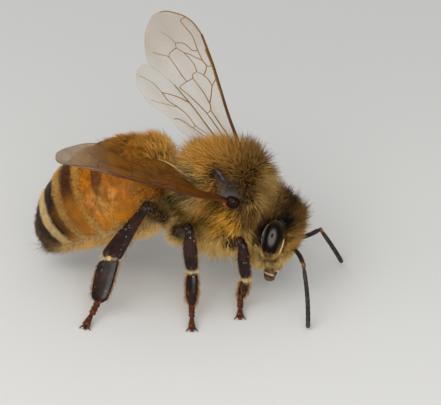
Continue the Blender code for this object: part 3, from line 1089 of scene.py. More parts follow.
class CoatTree:
    """The geometry tree that plants tufts over a skin by the skin's own attributes."""

    INPUTS = {
        "Skin": "Geometry", "Seed": "Int", "Scatter": "Float", "Size Spread": "Float", "Tufts": "Collection",
        "Finish": "Material",
    }

    def __init__(self) -> None:
        """Builds the tree."""
        self.tree = bpy.data.node_groups.new("PlantTufts", "GeometryNodeTree")
        self.sockets = {label: self.tree.interface.new_socket(label, in_out="INPUT",
                                                              socket_type=f"NodeSocket{kind}").identifier
                        for label, kind in self.INPUTS.items()}
        self.tree.interface.new_socket("Coat", in_out="OUTPUT", socket_type="NodeSocketGeometry")
        self.graph = graph = Graph(self.tree)
        entry = graph.node("NodeGroupInput").outputs
        points = graph.node("GeometryNodeDistributePointsOnFaces", {
            "Mesh": entry["Skin"], "Density": self._read("thick", "FLOAT"), "Seed": entry["Seed"],
        }).outputs["Points"]
        points = graph.node("GeometryNodeStoreNamedAttribute", {
            "Geometry": points, "Name": "shade", "Value": self._chance("FLOAT", 0.0, 1.0, 3),
        }, data_type="FLOAT").outputs[0]
        tufts = graph.node("GeometryNodeCollectionInfo", {
            "Collection": entry["Tufts"], "Separate Children": True, "Reset Children": True,
        }).outputs[0]
        coat = graph.node("GeometryNodeInstanceOnPoints", {
            "Points": points, "Instance": tufts, "Pick Instance": True,
            "Instance Index": self._chance("INT", 0, 999, 5), "Rotation": self._turn(entry["Scatter"]),
            "Scale": self._size(entry["Size Spread"]),
        }).outputs[0]
        coat = graph.node("GeometryNodeRealizeInstances", {0: coat}).outputs[0]
        coat = graph.node("GeometryNodeSetMaterial", {"Geometry": coat,
                                                      "Material": entry["Finish"]}).outputs[0]
        graph.feed(graph.node("NodeGroupOutput").inputs[0], coat)

    def _read(self, name: str, kind: str) -> Socket:
        """Reads a named attribute of the skin."""
        return self.graph.node("GeometryNodeInputNamedAttribute", {"Name": name}, data_type=kind).outputs[0]

    def _chance(self, kind: str, low: Feed, high: Feed, seed: int) -> Socket:
        """Draws a value, a whole number or a vector by chance for each tuft."""
        first, output = {"FLOAT_VECTOR": (0, 0), "FLOAT": (2, 1), "INT": (4, 2)}[kind]
        return self.graph.node("FunctionNodeRandomValue", {first: low, first + 1: high, "Seed": seed},
                               data_type=kind).outputs[output]

    def _turn(self, scatter: Socket) -> Socket:
        """Stands each tuft along its aim and bends it over the way the coat lies.

        Args:
            scatter: How much it strays from its aim.

        Returns:
            The turn of each tuft.
        """
        graph = self.graph
        stray = self._chance("FLOAT_VECTOR", (-1.0, -1.0, -1.0), (1.0, 1.0, 1.0), 7)
        aim = graph.vector("ADD", self._read("aim", "FLOAT_VECTOR"), graph.scaled(stray, scatter))
        stood = graph.node("FunctionNodeAlignRotationToVector", {"Vector": aim}, axis="Z").outputs[0]
        return graph.node("FunctionNodeAlignRotationToVector",
                          {"Rotation": stood, "Vector": self._read("lie", "FLOAT_VECTOR")},
                          axis="X", pivot_axis="Z").outputs[0]

    def _size(self, spread: Socket) -> Socket:
        """Gives each tuft the length of the coat at its root, with some spread."""
        luck = self.graph.times(self._chance("FLOAT", -1.0, 1.0, 9), spread)
        return self.graph.times(self._read("length", "FLOAT"), self.graph.add(1.0, luck))

    def plant(self, skin: bpy.types.Object, values: dict[str, object]) -> bpy.types.Mesh:
        """Plants the tufts on a skin.

        Args:
            skin: The skin, with its attributes; it is removed afterwards.
            values: The value of each named input but the skin.

        Returns:
            The coat as a plain mesh.
        """
        modifier = skin.modifiers.new("coat", "NODES")
        modifier.node_group = self.tree
        for label, value in values.items():
            modifier[self.sockets[label]] = value
        skin.update_tag()
        layer = bpy.context.evaluated_depsgraph_get()
        mesh = bpy.data.meshes.new_from_object(skin.evaluated_get(layer), preserve_all_data_layers=True,
                                               depsgraph=layer)
        skin.modifiers.remove(modifier)
        bed = skin.data
        bpy.data.objects.remove(skin)
        bpy.data.meshes.remove(bed)
        return mesh


@cache
def coat_tree() -> CoatTree:
    """The one tree that plants every coat, built when it is first needed."""
    return CoatTree()


@dataclass
class Coat:
    """One stretch of coat on a skin. Each field that varies has a value for every point of the skin.

    Args:
        name: The pieces' name.
        skin: The skin it grows on.
        thick: How many tufts stand on a square millimetre.
        length: How long they are, in millimetres.
        lie: The way they lie.
        lift: How far they stand up, from 0 flat to 1 upright.
        tufts: The set of tufts.
        finish: The hair's material.
        nodes: The solids it stands for.
        slot: The record's slot; not used.
        seed: The seed of its chance.
        clump: How far neighbouring tufts lean together, one value or a field.
        clump_scale: How many such clumps lie in a millimetre.
        scatter: How far single tufts stray.
        parts: How many pieces it is made in.
    """

    name: str
    skin: Grid
    thick: Field
    length: Field
    lie: np.ndarray
    lift: Field
    tufts: bpy.types.Collection
    finish: Material
    nodes: Sequence[str]
    slot: Slot
    seed: int = 1
    clump: Field = 0.30
    clump_scale: float = 1.5
    scatter: float = 0.22
    parts: int = 1

    def _fields(self) -> dict[str, np.ndarray]:
        """Works out what the tree reads, with the first column repeated after the last.

        Returns:
            Each attribute by name, for rows and columns of points.
        """
        normals = self.skin.normals
        thick, length, lift, clump = (np.broadcast_to(value, normals.shape[:2])[..., None]
                                      for value in (self.thick, self.length, self.lift, self.clump))
        lie = unit(self.lie - normals * (self.lie * normals).sum(axis=-1, keepdims=True))
        noise.seed_set(NOISE_SEED)
        lean = np.array([noise.noise_vector(Vector(point) * self.clump_scale + Vector((self.seed, 0, 0)))
                         for point in self.skin.points.reshape(-1, 3)]).reshape(normals.shape)
        aim = unit(lie * (1 - lift) + normals * lift + lean * clump)
        fields = {"thick": thick[..., 0] / MM**2, "length": length[..., 0] * MM, "lie": lie, "aim": aim,
                  "place": self.skin.place, "spot": self.skin.points}
        fields = {name: np.concatenate([value, value[:, :1]], axis=1) for name, value in fields.items()}
        rows, columns = fields["thick"].shape
        fields["unwrap"] = np.zeros((rows, columns, 3))
        fields["unwrap"][..., 0] = 0.01 + 0.98 * np.linspace(0, 1, columns)
        fields["unwrap"][..., 1] = (0.01 + 0.98 * np.linspace(0, 1, rows))[:, None]
        return fields

    @staticmethod
    def _bed(name: str, fields: dict[str, np.ndarray]) -> bpy.types.Object:
        """Makes the mesh that the tufts are planted on.

        Args:
            name: Its name.
            fields: What the tree reads, for rows and columns of points.

        Returns:
            The object, linked to the scene.
        """
        rows, columns = fields["thick"].shape
        index = np.arange(rows * columns).reshape(rows, columns)
        quads = np.stack([index[:-1, :-1], index[:-1, 1:], index[1:, 1:], index[1:, :-1]], axis=-1)
        mesh = bpy.data.meshes.new(name)
        mesh.from_pydata(in_frame(fields["spot"].reshape(-1, 3)).tolist(), [], quads.reshape(-1, 4).tolist())
        for label, value in fields.items():
            if label == "spot":
                continue
            flat = value.ndim == 2
            attribute = mesh.attributes.new(label, "FLOAT" if flat else "FLOAT_VECTOR", "POINT")
            attribute.data.foreach_set("value" if flat else "vector", value.astype(np.float32).ravel())
        bed = bpy.data.objects.new(name, mesh)
        bpy.context.scene.collection.objects.link(bed)
        return bed

    @staticmethod
    def _add_bake_map(mesh: bpy.types.Mesh) -> None:
        """Gives each tuft its own small patch at its root's place on the skin's unwrap.

        Args:
            mesh: The planted tufts.
        """
        count = len(mesh.vertices)
        values = {}
        for label in ("unwrap", "patch"):
            values[label] = np.zeros(count * 3, np.float32)
            mesh.attributes[label].data.foreach_get("vector", values[label])
            values[label] = values[label].reshape(-1, 3)[:, :2]
        corners = np.zeros(len(mesh.loops), np.int32)
        mesh.loops.foreach_get("vertex_index", corners)
        spots = np.clip(values["unwrap"] + PATCH_WIDTH * (values["patch"] - 0.5), 0.0, 1.0)
        layer = mesh.uv_layers.new(name="OFBake")
        layer.data.foreach_set("uv", spots[corners].astype(np.float32).ravel())
        for label in ("thick", "length", "lie", "aim", "unwrap"):
            mesh.attributes.remove(mesh.attributes[label])

    def grow(self, size_spread: float = 0.22) -> None:
        """Grows the coat.

        Args:
            size_spread: How much tufts differ in length.
        """
        fields = self._fields()
        cuts = np.linspace(0, fields["thick"].shape[1] - 1, self.parts + 1).round().astype(int)
        for number, (start, end) in enumerate(zip(cuts, cuts[1:]), start=1):
            name = f"{self.name}_{number}" if self.parts > 1 else self.name
            part = {label: value[:, start:end + 1] for label, value in fields.items()}
            mesh = coat_tree().plant(self._bed(f"{name}_bed", part), {
                "Seed": self.seed * 31 + number, "Scatter": self.scatter, "Size Spread": size_spread,
                "Tufts": self.tufts, "Finish": self.finish})
            mesh.name = name
            self._add_bake_map(mesh)
            add_piece(name, mesh, self.finish, self.nodes)


# --------------------------------------------------------------------------------------------- trunk


@dataclass
class Trunk:
    """The trunk with the neck and the waist in one skin, its coat and the wing-base plates.

    Args:
        stations: Place along X, centre height, half width, height above and depth below the centre.
        neck: The ends of the neck.
        waist: The ends of the waist.
        tegula_radii: The half sizes of a wing-base plate.
        rows: How many rows of points the skin has.
        columns: How many points lie round each row.
    """

    stations: Rows = (
        (2.12, 4.15, 0.35, 0.35, 0.35), (1.98, 4.32, 0.95, 0.80, 0.95), (1.40, 4.45, 1.62, 1.48, 1.65),
        (0.60, 4.45, 1.86, 1.86, 1.95), (-0.30, 4.42, 1.88, 1.90, 1.90), (-1.00, 4.35, 1.68, 1.72, 1.50),
        (-1.55, 4.25, 1.30, 1.30, 1.10), (-2.00, 4.18, 0.85, 0.75, 0.70), (-2.30, 4.15, 0.35, 0.33, 0.33),
    )
    neck: Rows = ((1.45, -0.28, 3.35), (2.30, -0.20, 3.95))
    waist: Rows = ((-2.05, 0.0, 4.16), (-3.05, 0.0, 4.42))
    tegula_radii: tuple[float, float, float] = (0.33, 0.24, 0.30)
    rows: int = 72
    columns: int = 96

    def skin(self) -> Grid:
        """Shapes the trunk: the domed back with its two grooves and the raised plate behind them.

        Returns:
            Its skin.
        """
        front, rear = self.stations[0][0], self.stations[-1][0]
        share = 0.5 - 0.5 * np.cos(np.linspace(0.03, np.pi - 0.03, self.rows))
        x = front + (rear - front) * share
        centre, width, rise, drop = Profile(self.stations).at(x).T
        angle = 2 * np.pi * np.arange(self.columns) / self.columns - np.pi / 2
        up = np.sin(angle)
        height = np.where(up > 0, rise[:, None], drop[:, None]) * up
        points = np.stack([np.repeat(x[:, None], self.columns, axis=1), width[:, None] * np.cos(angle),
                           centre[:, None] + height], axis=-1)
        grid = Grid(points, points)
        top = ease(up, 0.35, 0.85)[None, :]
        groove = -0.10 * hump(x[:, None] + 0.92, 0.10) * top
        plate = 0.14 * hump(x[:, None] + 1.25, 0.22) * top
        lines = -0.03 * hump(np.abs(points[..., 1]) - 0.75, 0.06) * top * ease(x[:, None], -0.8, -0.4)
        collar = -0.08 * hump(x[:, None] - 1.72, 0.10)
        grid = grid.moved(groove + plate + lines + collar)
        grid.place = grid.points
        return grid

    def coat_fields(self, grid: Grid) -> dict[str, np.ndarray]:
        """Works out how thick, how long and which way the coat lies.

        Args:
            grid: The trunk's skin.

        Returns:
            The fields of a coat.
        """
        x, y, z = np.moveaxis(grid.points, -1, 0)
        flank = np.abs(y)
        plate = np.linalg.norm((grid.points - np.array([0.81, 0, 5.07])) * [1, 0, 1]
                               + np.stack([0 * x, flank - 1.8, 0 * x], axis=-1), axis=-1)
        along, across = (x + flank - 1.28) / 1.414, (x - flank + 1.02) / 1.414
        bald = np.hypot(along / 0.44, across / 0.20)
        before = np.hypot((along - 0.46) / 0.80, (across - 0.06) / 0.42)
        flanks = ease(z, 5.7, 4.7)
        thick = (390 - 110 * flanks) * (1 - 0.35 * hump(x - 1.7, 0.45) * ease(z, 4.6, 5.2))
        thick *= ease(plate, 0.20, 0.42) * 0.97 + 0.03
        thick *= 1 - 0.97 * ease(bald, 1.4, 0.9) * (z > 5)
        thick = thick * (1 - 0.75 * ease(x, -1.35, -1.9) * ease(z, 3.4, 4.2))
        thick *= 1 - 0.30 * ease(z, 3.2, 2.7)
        length = 0.88 + 0.06 * ease(z, 5.2, 6.1) + 0.10 * ease(z, 3.8, 2.9)
        length = length * (1 - 0.66 * ease(before, 1.4, 0.7) * (z > 5))
        length = length * (1 - 0.58 * ease(plate, 0.90, 0.30))
        length = length * (1 - 0.15 * ease(x, 1.3, 2.0))
        cheek = hump(np.hypot((x - 1.75) / 0.75, (z - 3.55) / 1.0), 1.0) * ease(flank, 0.5, 0.9)
        length = length * (1 - 0.48 * cheek)
        lie = np.zeros(grid.points.shape)
        ahead = ease(x, 1.2, 2.0)
        lie[..., 0] = -1.0 + 1.6 * ahead
        lie[..., 1] = 0.35 * np.sign(y) * (1 - ahead)
        lie[..., 2] = -0.75 + 0.35 * ease(x, -0.9, -1.6)
        lift = 0.90 - 0.50 * flanks + 0.24 * ease(z, 3.6, 2.9)
        lift = lift + (0.96 - lift) * hump(x - 1.45, 0.60)
        return {"thick": thick, "length": length, "lie": lie, "lift": lift, "clump": 0.24 + 0.34 * flanks}

    def build(self) -> None:
        """Builds and dresses the trunk."""
        grid = self.skin()
        shell = Shell().add(grid)
        for ends, radius in ((self.neck, 0.42), (self.waist, 0.30)):
            path = smooth_path(ends, 8)
            tube = tube_grid(path, radius * (1 + 0.06 * np.cos(np.arange(len(path)) * 2.4)), 24)
            tube.place = tube.points
            shell.add(tube)
        skin = MarkedFinish("trunk_shell", (0.03, 0.02, 0.012), (0.012, 0.008, 0.007), roughness=0.28,
                            marks=Marks.TRUNK, share=0.10, dust=0.5, shine=0.5)
        nodes = ("thorax", "neck", "waist")
        add_piece("trunk_skin", shell, skin.make(), nodes)
        tufts = TuftSet("trunk_tufts", hairs=3, thickness=0.0125, spread=0.14, bend=0.30, seed=11).make()
        hair = CoatFinish("trunk_hair", Marks.TRUNK, root_shade=0.10, tip_paleness=0.42, variety=1.5).make()
        Coat("trunk_coat", grid, tufts=tufts, finish=hair, nodes=("thorax",), slot=Slot.COAT_GOLDEN, seed=3,
             clump_scale=2.1, scatter=0.22, parts=4, **self.coat_fields(grid)).grow(0.45)
        self.grow_under(grid, hair)
        ridge = CuticleFinish("ridge_shell", (0.075, 0.060, 0.055), (0.020, 0.015, 0.013), roughness=0.24,
                              mottle=5.0, depth=0.4, gloss=0.25, shine=0.5).make()
        plate = CuticleFinish("tegula_shell", (0.018, 0.006, 0.003), (0.006, 0.003, 0.002), roughness=0.22,
                              mottle=3.0, depth=0.15, dust=0.4, gloss=0.05, shine=0.12).make()
        root = CuticleFinish("wing_root", (0.26, 0.075, 0.012), (0.07, 0.022, 0.007), roughness=0.34,
                             mottle=5.0).make()
        for side in Side:
            self.build_ridge(side, ridge)
            self.build_tegula(side, plate, root)

    def build_ridge(self, side: Side, finish: Material) -> None:
        """Builds the bare glossy ridge that shows through the coat of the back.

        Args:
            side: The side it is on.
            finish: Its finish.
        """
        share = np.linspace(-1, 1, 25)
        heading = unit(np.array([0.50, 0.50 * side.value, -0.30]))
        bulge = np.stack([0 * share, 0.04 * side.value * (1 - share**2), 0.05 * (1 - share**2)], axis=-1)
        path = np.array([0.13, 1.24 * side.value, 6.02]) + 0.42 * share[:, None] * heading + bulge
        thin_way = np.cross(heading, np.array([0.0, 0.6 * side.value, 0.8]))
        tube = tube_grid(path, 0.27 * np.sqrt(np.clip(1 - share**2, 0.05, 1)), 20, Vector(thin_way), 0.46)
        tube.place = tube.points
        name = f"back_ridge_{side.word}"
        add_piece(name, tube, finish, ("thorax",))

    def grow_under(self, grid: Grid, hair: Material) -> None:
        """Grows the long pale wisps that hang between the legs.

        Args:
            grid: The trunk's skin.
            hair: The coat's finish.
        """
        x, _, z = np.moveaxis(grid.points, -1, 0)
        under = ease(z, 3.9, 3.1) * ease(x, 1.9, 1.4) * ease(x, -2.1, -1.6)
        lie = np.array([-0.15, 0.0, -1.0])
        tufts = TuftSet("wisp_tufts", hairs=3, thickness=0.016, spread=0.22, bend=0.35, seed=12).make()
        Coat("trunk_wisps", grid, 110 * under, 1.25, lie, 0.75, tufts, hair,
             ("thorax",), Slot.COAT_GOLDEN, seed=4, clump=0.34, clump_scale=1.6, scatter=0.30).grow(0.35)

    def build_tegula(self, side: Side, plate: Material, root: Material) -> None:
        """Builds the small domed plate over a wing's base and the wing's roots under it.

        Args:
            side: The side it is on.
            plate: The plate's finish.
            root: The roots' finish.
        """
        centre = (TEGULA_MIDDLE.x, 1.90 * side.value, TEGULA_MIDDLE.z)
        tilt = Euler((math.radians(-14) * side.value, 0.1, 0.0)).to_matrix().to_4x4()
        turn = Matrix.Translation(centre) @ tilt
        dome = ball_grid((0, 0, 0), self.tegula_radii, turn, rows=20, sides=32)
        rim = hump(np.abs(dome.place[..., 1]) / self.tegula_radii[1] - 0.25, 0.10)
        add_piece(f"tegula_{side.word}_plate", dome.moved(0.02 * rim), plate, (f"tegula_{side.word}",))
        roots = Shell()
        for x, y, z, size in ((0.50, 1.93, 5.02, 0.13), (0.58, 1.98, 4.86, 0.11), (0.34, 1.90, 5.10, 0.10)):
            roots.add(ball_grid((x, y * side.value, z), (1.5 * size, 0.8 * size, size), None, 12, 18))
        add_piece(f"wing_root_{side.word}", roots, root, ("thorax",))


# ---------------------------------------------------------------------------------------------- head


# Painted reflection on an eye: the pale haze of the light it mirrors and the dark pupil spot in it, each as
# middle, half sizes and colour.
EYE_REFLECTION_SPOTS = (
    ((-0.01, 0.42, 0.26), (0.23, 0.34, 0.52), (0.100, 0.088, 0.083)),
    ((-0.03, 0.44, 0.36), (0.080, 0.20, 0.15), (0.006, 0.004, 0.004)),
)


@dataclass(frozen=True)
class EyeFinish:
    """The finish of an eye: near black, glossy, with fine facets, a browner rim and a painted reflection haze
    with its dark pupil spot.

    Args:
        name: The material's name.
        facets: How many facets lie in a millimetre.
    """

    name: str = "eye_facets"
    facets: float = 36.0

    def make(self) -> Material:
        """Makes the finish.

        Returns:
            Its material.
        """
        material, graph, shader = new_material(self.name)
        place = graph.attribute("place", "Vector")
        x, y, z = graph.axes(place)
        out = graph.math("ABSOLUTE", y)
        cloud = graph.noise(place, 1.6)
        colour = graph.mix(cloud, (0.004, 0.002, 0.002), (0.008, 0.005, 0.004))
        # painted reflection: a pale haze with a dark pupil spot in it
        colour = graph.spots(graph.combine(x, out, z), colour, EYE_REFLECTION_SPOTS)
        rear = graph.times(graph.rise(x, -0.30, -0.46), graph.rise(z, -0.55, 0.0))
        colour = graph.mix(graph.times(rear, 0.50), colour, (0.15, 0.14, 0.115))
        front = graph.times(graph.rise(out, 0.36, 0.16), graph.rise(x, 0.05, 0.3))
        colour = graph.mix(graph.times(front, graph.rise(z, 0.2, -0.2)), colour, (0.15, 0.080, 0.026))
        colour = graph.mix(graph.times(graph.rise(out, 0.22, 0.06), 0.6), colour, (0.06, 0.036, 0.018))
        facets = graph.node("ShaderNodeTexVoronoi", {"Vector": place, "Scale": self.facets,
                                                     "Randomness": 0.2})
        graph.fill(shader, {
            "Base Color": graph.mix(graph.rise(z, -0.70, -1.0), colour, (0.10, 0.055, 0.022)),
            "Roughness": graph.add(0.26, graph.times(cloud, 0.10)),
            "Normal": graph.bump(facets.outputs["Distance"], 0.35, 0.006, invert=True),
            "IOR": BODY_IOR, "Specular IOR Level": 0.06, "Coat Weight": 0.015, "Coat Roughness": 0.12,
        })
        return material


@dataclass
class Head:
    """The head capsule with its eyes, simple eyes, jaws, folded tongue and coat.

    Args:
        centre: Its middle, in the bee's axes.
        turn: How it is turned about X, Y and Z, in degrees.
        stations: Place up the head, front, back and half width, in its own axes.
        eye_centre: The middle of the left eye, in its own axes.
        eye_radii: The half sizes of an eye.
        eye_lean: How far the tops of the eyes lean inward, in degrees.
        eye_tilt: How far they lean forward, in degrees.
        rim_depth: How far out from its middle an eye's rim lies, in half depths; below 0 is inward.
        sockets: How far the feeler sockets lie aside and up, in its own axes.
        rows: How many rows of points the skin has.
        columns: How many points lie round each row.
        jaw_path: The middle line of the left jaw, in its own axes.
        tongue_path: The middle line of the tongue, in its own axes.
    """

    centre: tuple[float, float, float] = (2.44, -0.38, 2.73)
    turn: tuple[float, float, float] = (-4.5, 17.9, -1.7)
    stations: Rows = (
        (-1.64, 0.50, 0.28, 0.28), (-1.48, 0.62, 0.12, 0.60), (-1.10, 0.76, -0.25, 0.96),
        (-0.60, 0.90, -0.58, 1.28), (0.00, 0.97, -0.76, 1.47), (0.60, 0.92, -0.80, 1.50),
        (1.10, 0.80, -0.72, 1.32), (1.46, 0.52, -0.54, 0.92), (1.65, 0.20, -0.28, 0.42),
    )
    eye_centre: tuple[float, float, float] = (0.04, 1.40, 0.43)
    eye_radii: tuple[float, float, float] = (0.46, 0.44, 0.93)
    eye_lean: float = 7.0
    eye_tilt: float = -8.0
    rim_depth: float = -0.26
    sockets: tuple[float, float] = (0.40, 0.03)
    rows: int = 72
    columns: int = 96
    jaw_path: Rows = ((0.34, 0.70, -1.34), (0.47, 0.62, -1.64), (0.54, 0.35, -1.92), (0.55, 0.09, -2.08))
    tongue_path: Rows = ((0.10, 0.0, -1.62), (-0.42, 0.0, -1.46), (-0.78, 0.0, -1.02), (-0.88, 0.0, -0.62))

    @property
    def matrix(self) -> Matrix:
        """Takes the head's axes to the bee's."""
        turn = Euler([math.radians(angle) for angle in self.turn], "XYZ")
        return Matrix.Translation(self.centre) @ turn.to_matrix().to_4x4()

    def eye_matrix(self, side: Side) -> Matrix:
        """Takes one eye's axes to the head's.

        Args:
            side: The side of the eye.

        Returns:
            The matrix.
        """
        x, y, z = self.eye_centre
        lean = Matrix.Rotation(math.radians(self.eye_lean) * side.value, 4, "X")
        tilt = Matrix.Rotation(math.radians(self.eye_tilt), 4, "Y")
        return Matrix.Translation((x, y * side.value, z)) @ lean @ tilt

    def eye_distance(self, local: np.ndarray) -> np.ndarray:
        """Measures how far points are from the eyes.

        Args:
            local: Points in the head's axes.

        Returns:
            1 on the surface of the nearer eye and more outside it.
        """
        shares = []
        for side in Side:
            seen = apply_matrix(self.eye_matrix(side).inverted(), local)
            shares.append(np.linalg.norm(seen / np.array(self.eye_radii), axis=-1))
        return np.minimum(*shares)

    def skin(self) -> Grid:
        """Shapes the capsule: the face's shield, the feeler sockets and the seats of the eyes.

        Returns:
            Its skin.
        """
        low, high = self.stations[0][0], self.stations[-1][0]
        z = low + (high - low) * (0.5 - 0.5 * np.cos(np.linspace(0.05, np.pi - 0.05, self.rows)))
        front, back, width = Profile(self.stations).at(z).T
        angle = np.pi + 2 * np.pi * np.arange(self.columns) / self.columns
        ahead = np.cos(angle)[None, :]
        ahead = np.sign(ahead) * np.abs(ahead) ** 0.9
        across = np.sin(angle)[None, :]
        local = np.stack([((front + back) / 2)[:, None] + ((front - back) / 2)[:, None] * ahead,
                          width[:, None] * across, np.repeat(z[:, None], self.columns, axis=1)], axis=-1)
        grid = Grid(local, local)
        _, y, up = np.moveaxis(local, -1, 0)
        face = ease(ahead, 0.3, 0.7)
        shield = 0.09 * hump(np.hypot(y / 0.62, (up + 0.90) / 0.42), 1.0)
        groove = -0.05 * hump(np.abs(np.hypot(y / 0.62, (up + 0.90) / 0.46) - 1.12), 0.10)
        ridge = 0.05 * hump(y, 0.14) * ease(up, -0.55, -0.1) * ease(up, 1.3, 0.8)
        pits = -0.09 * hump(np.hypot(np.abs(y) - self.sockets[0], up - self.sockets[1]), 0.13)
        seat = -0.05 * ease(self.eye_distance(local), 1.25, 1.0)
        grid = grid.moved((shield + groove + ridge + pits) * face + seat)
        return Grid(apply_matrix(self.matrix, grid.points), grid.points)

    def coat_fields(self, grid: Grid) -> dict[str, np.ndarray]:
        """Works out how thick, how long and which way the head's coat lies.

        Args:
            grid: The head's skin.

        Returns:
            The fields of a coat.
        """
        x, y, z = np.moveaxis(grid.place, -1, 0)
        flank = np.abs(y)
        eye = self.eye_distance(grid.place)
        crown = ease(z, 0.8, 1.35)
        rear = ease(x, 0.0, -0.45)
        orbit = ease(eye, 1.30, 1.12) * ease(x, 0.2, 0.5)
        thick = 480 + 250 * orbit
        thick = thick * ease(eye, 1.0, 1.06)
        thick = thick * (0.04 + 0.96 * ease(np.hypot(flank - self.sockets[0], z - self.sockets[1])
                                                   + 2 * (x < 0.3), 0.10, 0.22))
        thick = thick * (1 - 0.75 * hump(np.hypot(y / 0.5, (z + 1.05) / 0.35), 1.0) * (x > 0.4))
        bare = hump(np.hypot((x - 0.22) / 0.22, y / 0.42), 1.0) * ease(z, 1.22, 1.38)
        temple = hump(np.hypot((x - 0.30) / 0.40, np.hypot((flank - 1.05) / 0.34, (z - 1.32) / 0.30)), 1.0)
        vertex = hump(np.hypot((x - 0.30) / 0.36, y / 0.80), 1.0)
        thick = thick * (1 - 0.45 * crown * rear)
        lip = hump(np.hypot((x - 0.45) / 0.36, np.hypot((flank - 0.78) / 0.30, (z + 1.27) / 0.17)), 1.0)
        thick = thick * (1 - 0.95 * bare) * (1 - 0.93 * temple) * (1 - 0.85 * lip)
        length = 0.30 + crown * (0.12 + 0.34 * ease(x, -0.05, -0.45)) * (1 - 0.70 * vertex)
        length = length + 0.06 * ease(z, -0.6, 0.2) * (1 - orbit)
        length = length - 0.20 * orbit + 0.10 * rear - 0.14 * ease(z, -0.2, -1.0) * (1 - rear)
        beard = ease(z, -0.50, -0.95) * ease(x, 0.22, -0.10)
        fringe = ease(z, 0.55, 1.05) * ease(x, 0.15, 0.50)
        length = length + 0.26 * beard + 0.03 * fringe
        lie = np.zeros(grid.points.shape)
        lie[..., 0] = 0.35 - 0.9 * rear
        lie[..., 1] = 0.25 * np.sign(y)
        lie[..., 2] = -1.0 + 1.8 * ease(z, 0.2, 1.0)
        below = ease(eye, 1.45, 1.20) * ease(z, 0.0, -0.35)
        lie[..., 2] = lie[..., 2] * (1 - below) + 1.2 * below
        length = length + 0.20 * below
        turn = np.array(self.matrix)[:3, :3]
        lift = 0.66 + 0.14 * crown - 0.25 * orbit - 0.12 * below + 0.14 * fringe * (1 - orbit)
        return {"thick": thick, "length": length, "lie": lie @ turn.T, "lift": lift}

    def build(self) -> None:
        """Builds and dresses the head."""
        grid = self.skin()
        skin = MarkedFinish("head_shell", (0.03, 0.02, 0.012), (0.011, 0.008, 0.007), roughness=0.30,
                            marks=Marks.HEAD, share=0.12, dust=0.5)
        add_piece("head_skin", grid, skin.make(), ("head",))
        tufts = TuftSet("head_tufts", hairs=3, thickness=0.017, spread=0.20, bend=0.25, seed=21).make()
        hair = CoatFinish("head_hair", Marks.HEAD, root_shade=0.18, tip_paleness=0.24, variety=1.7,
                          strands=15.0).make()
        Coat("head_coat", grid, tufts=tufts, finish=hair, nodes=("head",), slot=Slot.COAT_HEAD, seed=5,
             clump=0.26, clump_scale=2.4, scatter=0.22, parts=2, **self.coat_fields(grid)).grow(0.42)
        self.grow_brow(grid)
        self.build_eyes()
        self.grow_lashes()
        self.build_ocelli()
        self.build_mouth()

    def eye_line(self, side: Side, angle: np.ndarray, stand: float) -> np.ndarray:
        """Draws a line round an eye, a little inward of its middle.

        Args:
            side: The eye's side.
            angle: The angles it runs through.
            stand: How far out it lies, 1 being on the eye.

        Returns:
            Its points, in the bee's axes.
        """
        wide, deep, tall = self.eye_radii
        depth = self.rim_depth * side.value
        ring = math.sqrt(1 - depth**2) * stand
        path = np.stack([wide * ring * np.cos(angle), np.full(angle.shape, depth * deep),
                         tall * ring * np.sin(angle)], axis=-1)
        return apply_matrix(self.matrix @ self.eye_matrix(side), path)

    def build_eyes(self) -> None:
        """Builds the two compound eyes, each in its low rim."""
        lens = EyeFinish().make()
        rim = CuticleFinish("orbit_shell", (0.13, 0.085, 0.040), (0.04, 0.025, 0.012), roughness=0.5,
                            mottle=3.0).make()
        front = CuticleFinish("orbit_margin", (0.86, 0.68, 0.38), (0.50, 0.34, 0.15), roughness=0.5,
                              mottle=6.0, shine=0.1).make()
        rear = CuticleFinish("orbit_rear", (0.34, 0.32, 0.25), (0.17, 0.15, 0.11), roughness=0.5,
                             mottle=6.0, shine=0.1).make()
        round_share = np.linspace(0, 2 * np.pi, 73)[:-1]
        for side in Side:
            name = f"eye_{side.word}"
            eye = ball_grid((0, 0, 0), self.eye_radii, self.matrix @ self.eye_matrix(side), rows=56, sides=72)
            add_piece(f"{name}_lens", eye, lens, (name,))
            for label, ends, stand, thick, finish in (("front", (0.25, -1.05), 1.12, 0.042, front),
                                                      ("rear", (2.35, 3.75), 1.04, 0.046, rear)):
                path = self.eye_line(side, np.linspace(*ends, 24), stand)
                bead = tube_grid(path, thick * np.sin(np.linspace(0.3, 2.9, 24)), 10)
                add_piece(f"{name}_{label}", bead, finish, ("head",))
            orbit = Shell().add_ring(self.eye_line(side, round_share, 1.015), 0.024)
            add_piece(f"{name}_orbit", orbit, rim, ("head",))

    def grow_brow(self, grid: Grid) -> None:
        """Grows the long thin hairs that stand out of the crown and the brow.

        Args:
            grid: The head's skin.
        """
        x, y, z = np.moveaxis(grid.place, -1, 0)
        brow = ease(z, -0.35, 0.55) * ease(x, -0.62, -0.30)
        vertex = hump(np.hypot((x - 0.30) / 0.45, y / 0.75), 1.0) * ease(z, 1.10, 1.30)
        thick = 85 * brow * ease(self.eye_distance(grid.place), 1.20, 1.45) * (1 - vertex)
        length = 0.51 + 0.25 * ease(z, 0.4, 1.2)
        lie = np.array(self.matrix)[:3, :3] @ [0.15, 0.0, 1.0]
        tufts = TuftSet("brow_tufts", hairs=3, thickness=0.022, spread=0.22, bend=0.22, seed=23).make()
        hair = CoatFinish("brow_hair", Marks.HEAD, root_shade=0.35, tip_paleness=0.22, variety=0.9).make()
        Coat("head_brow", grid, thick, length, lie, 0.86, tufts, hair, ("head",), Slot.COAT_HEAD,
             seed=16, clump=0.30, clump_scale=2.2, scatter=0.26).grow(0.35)

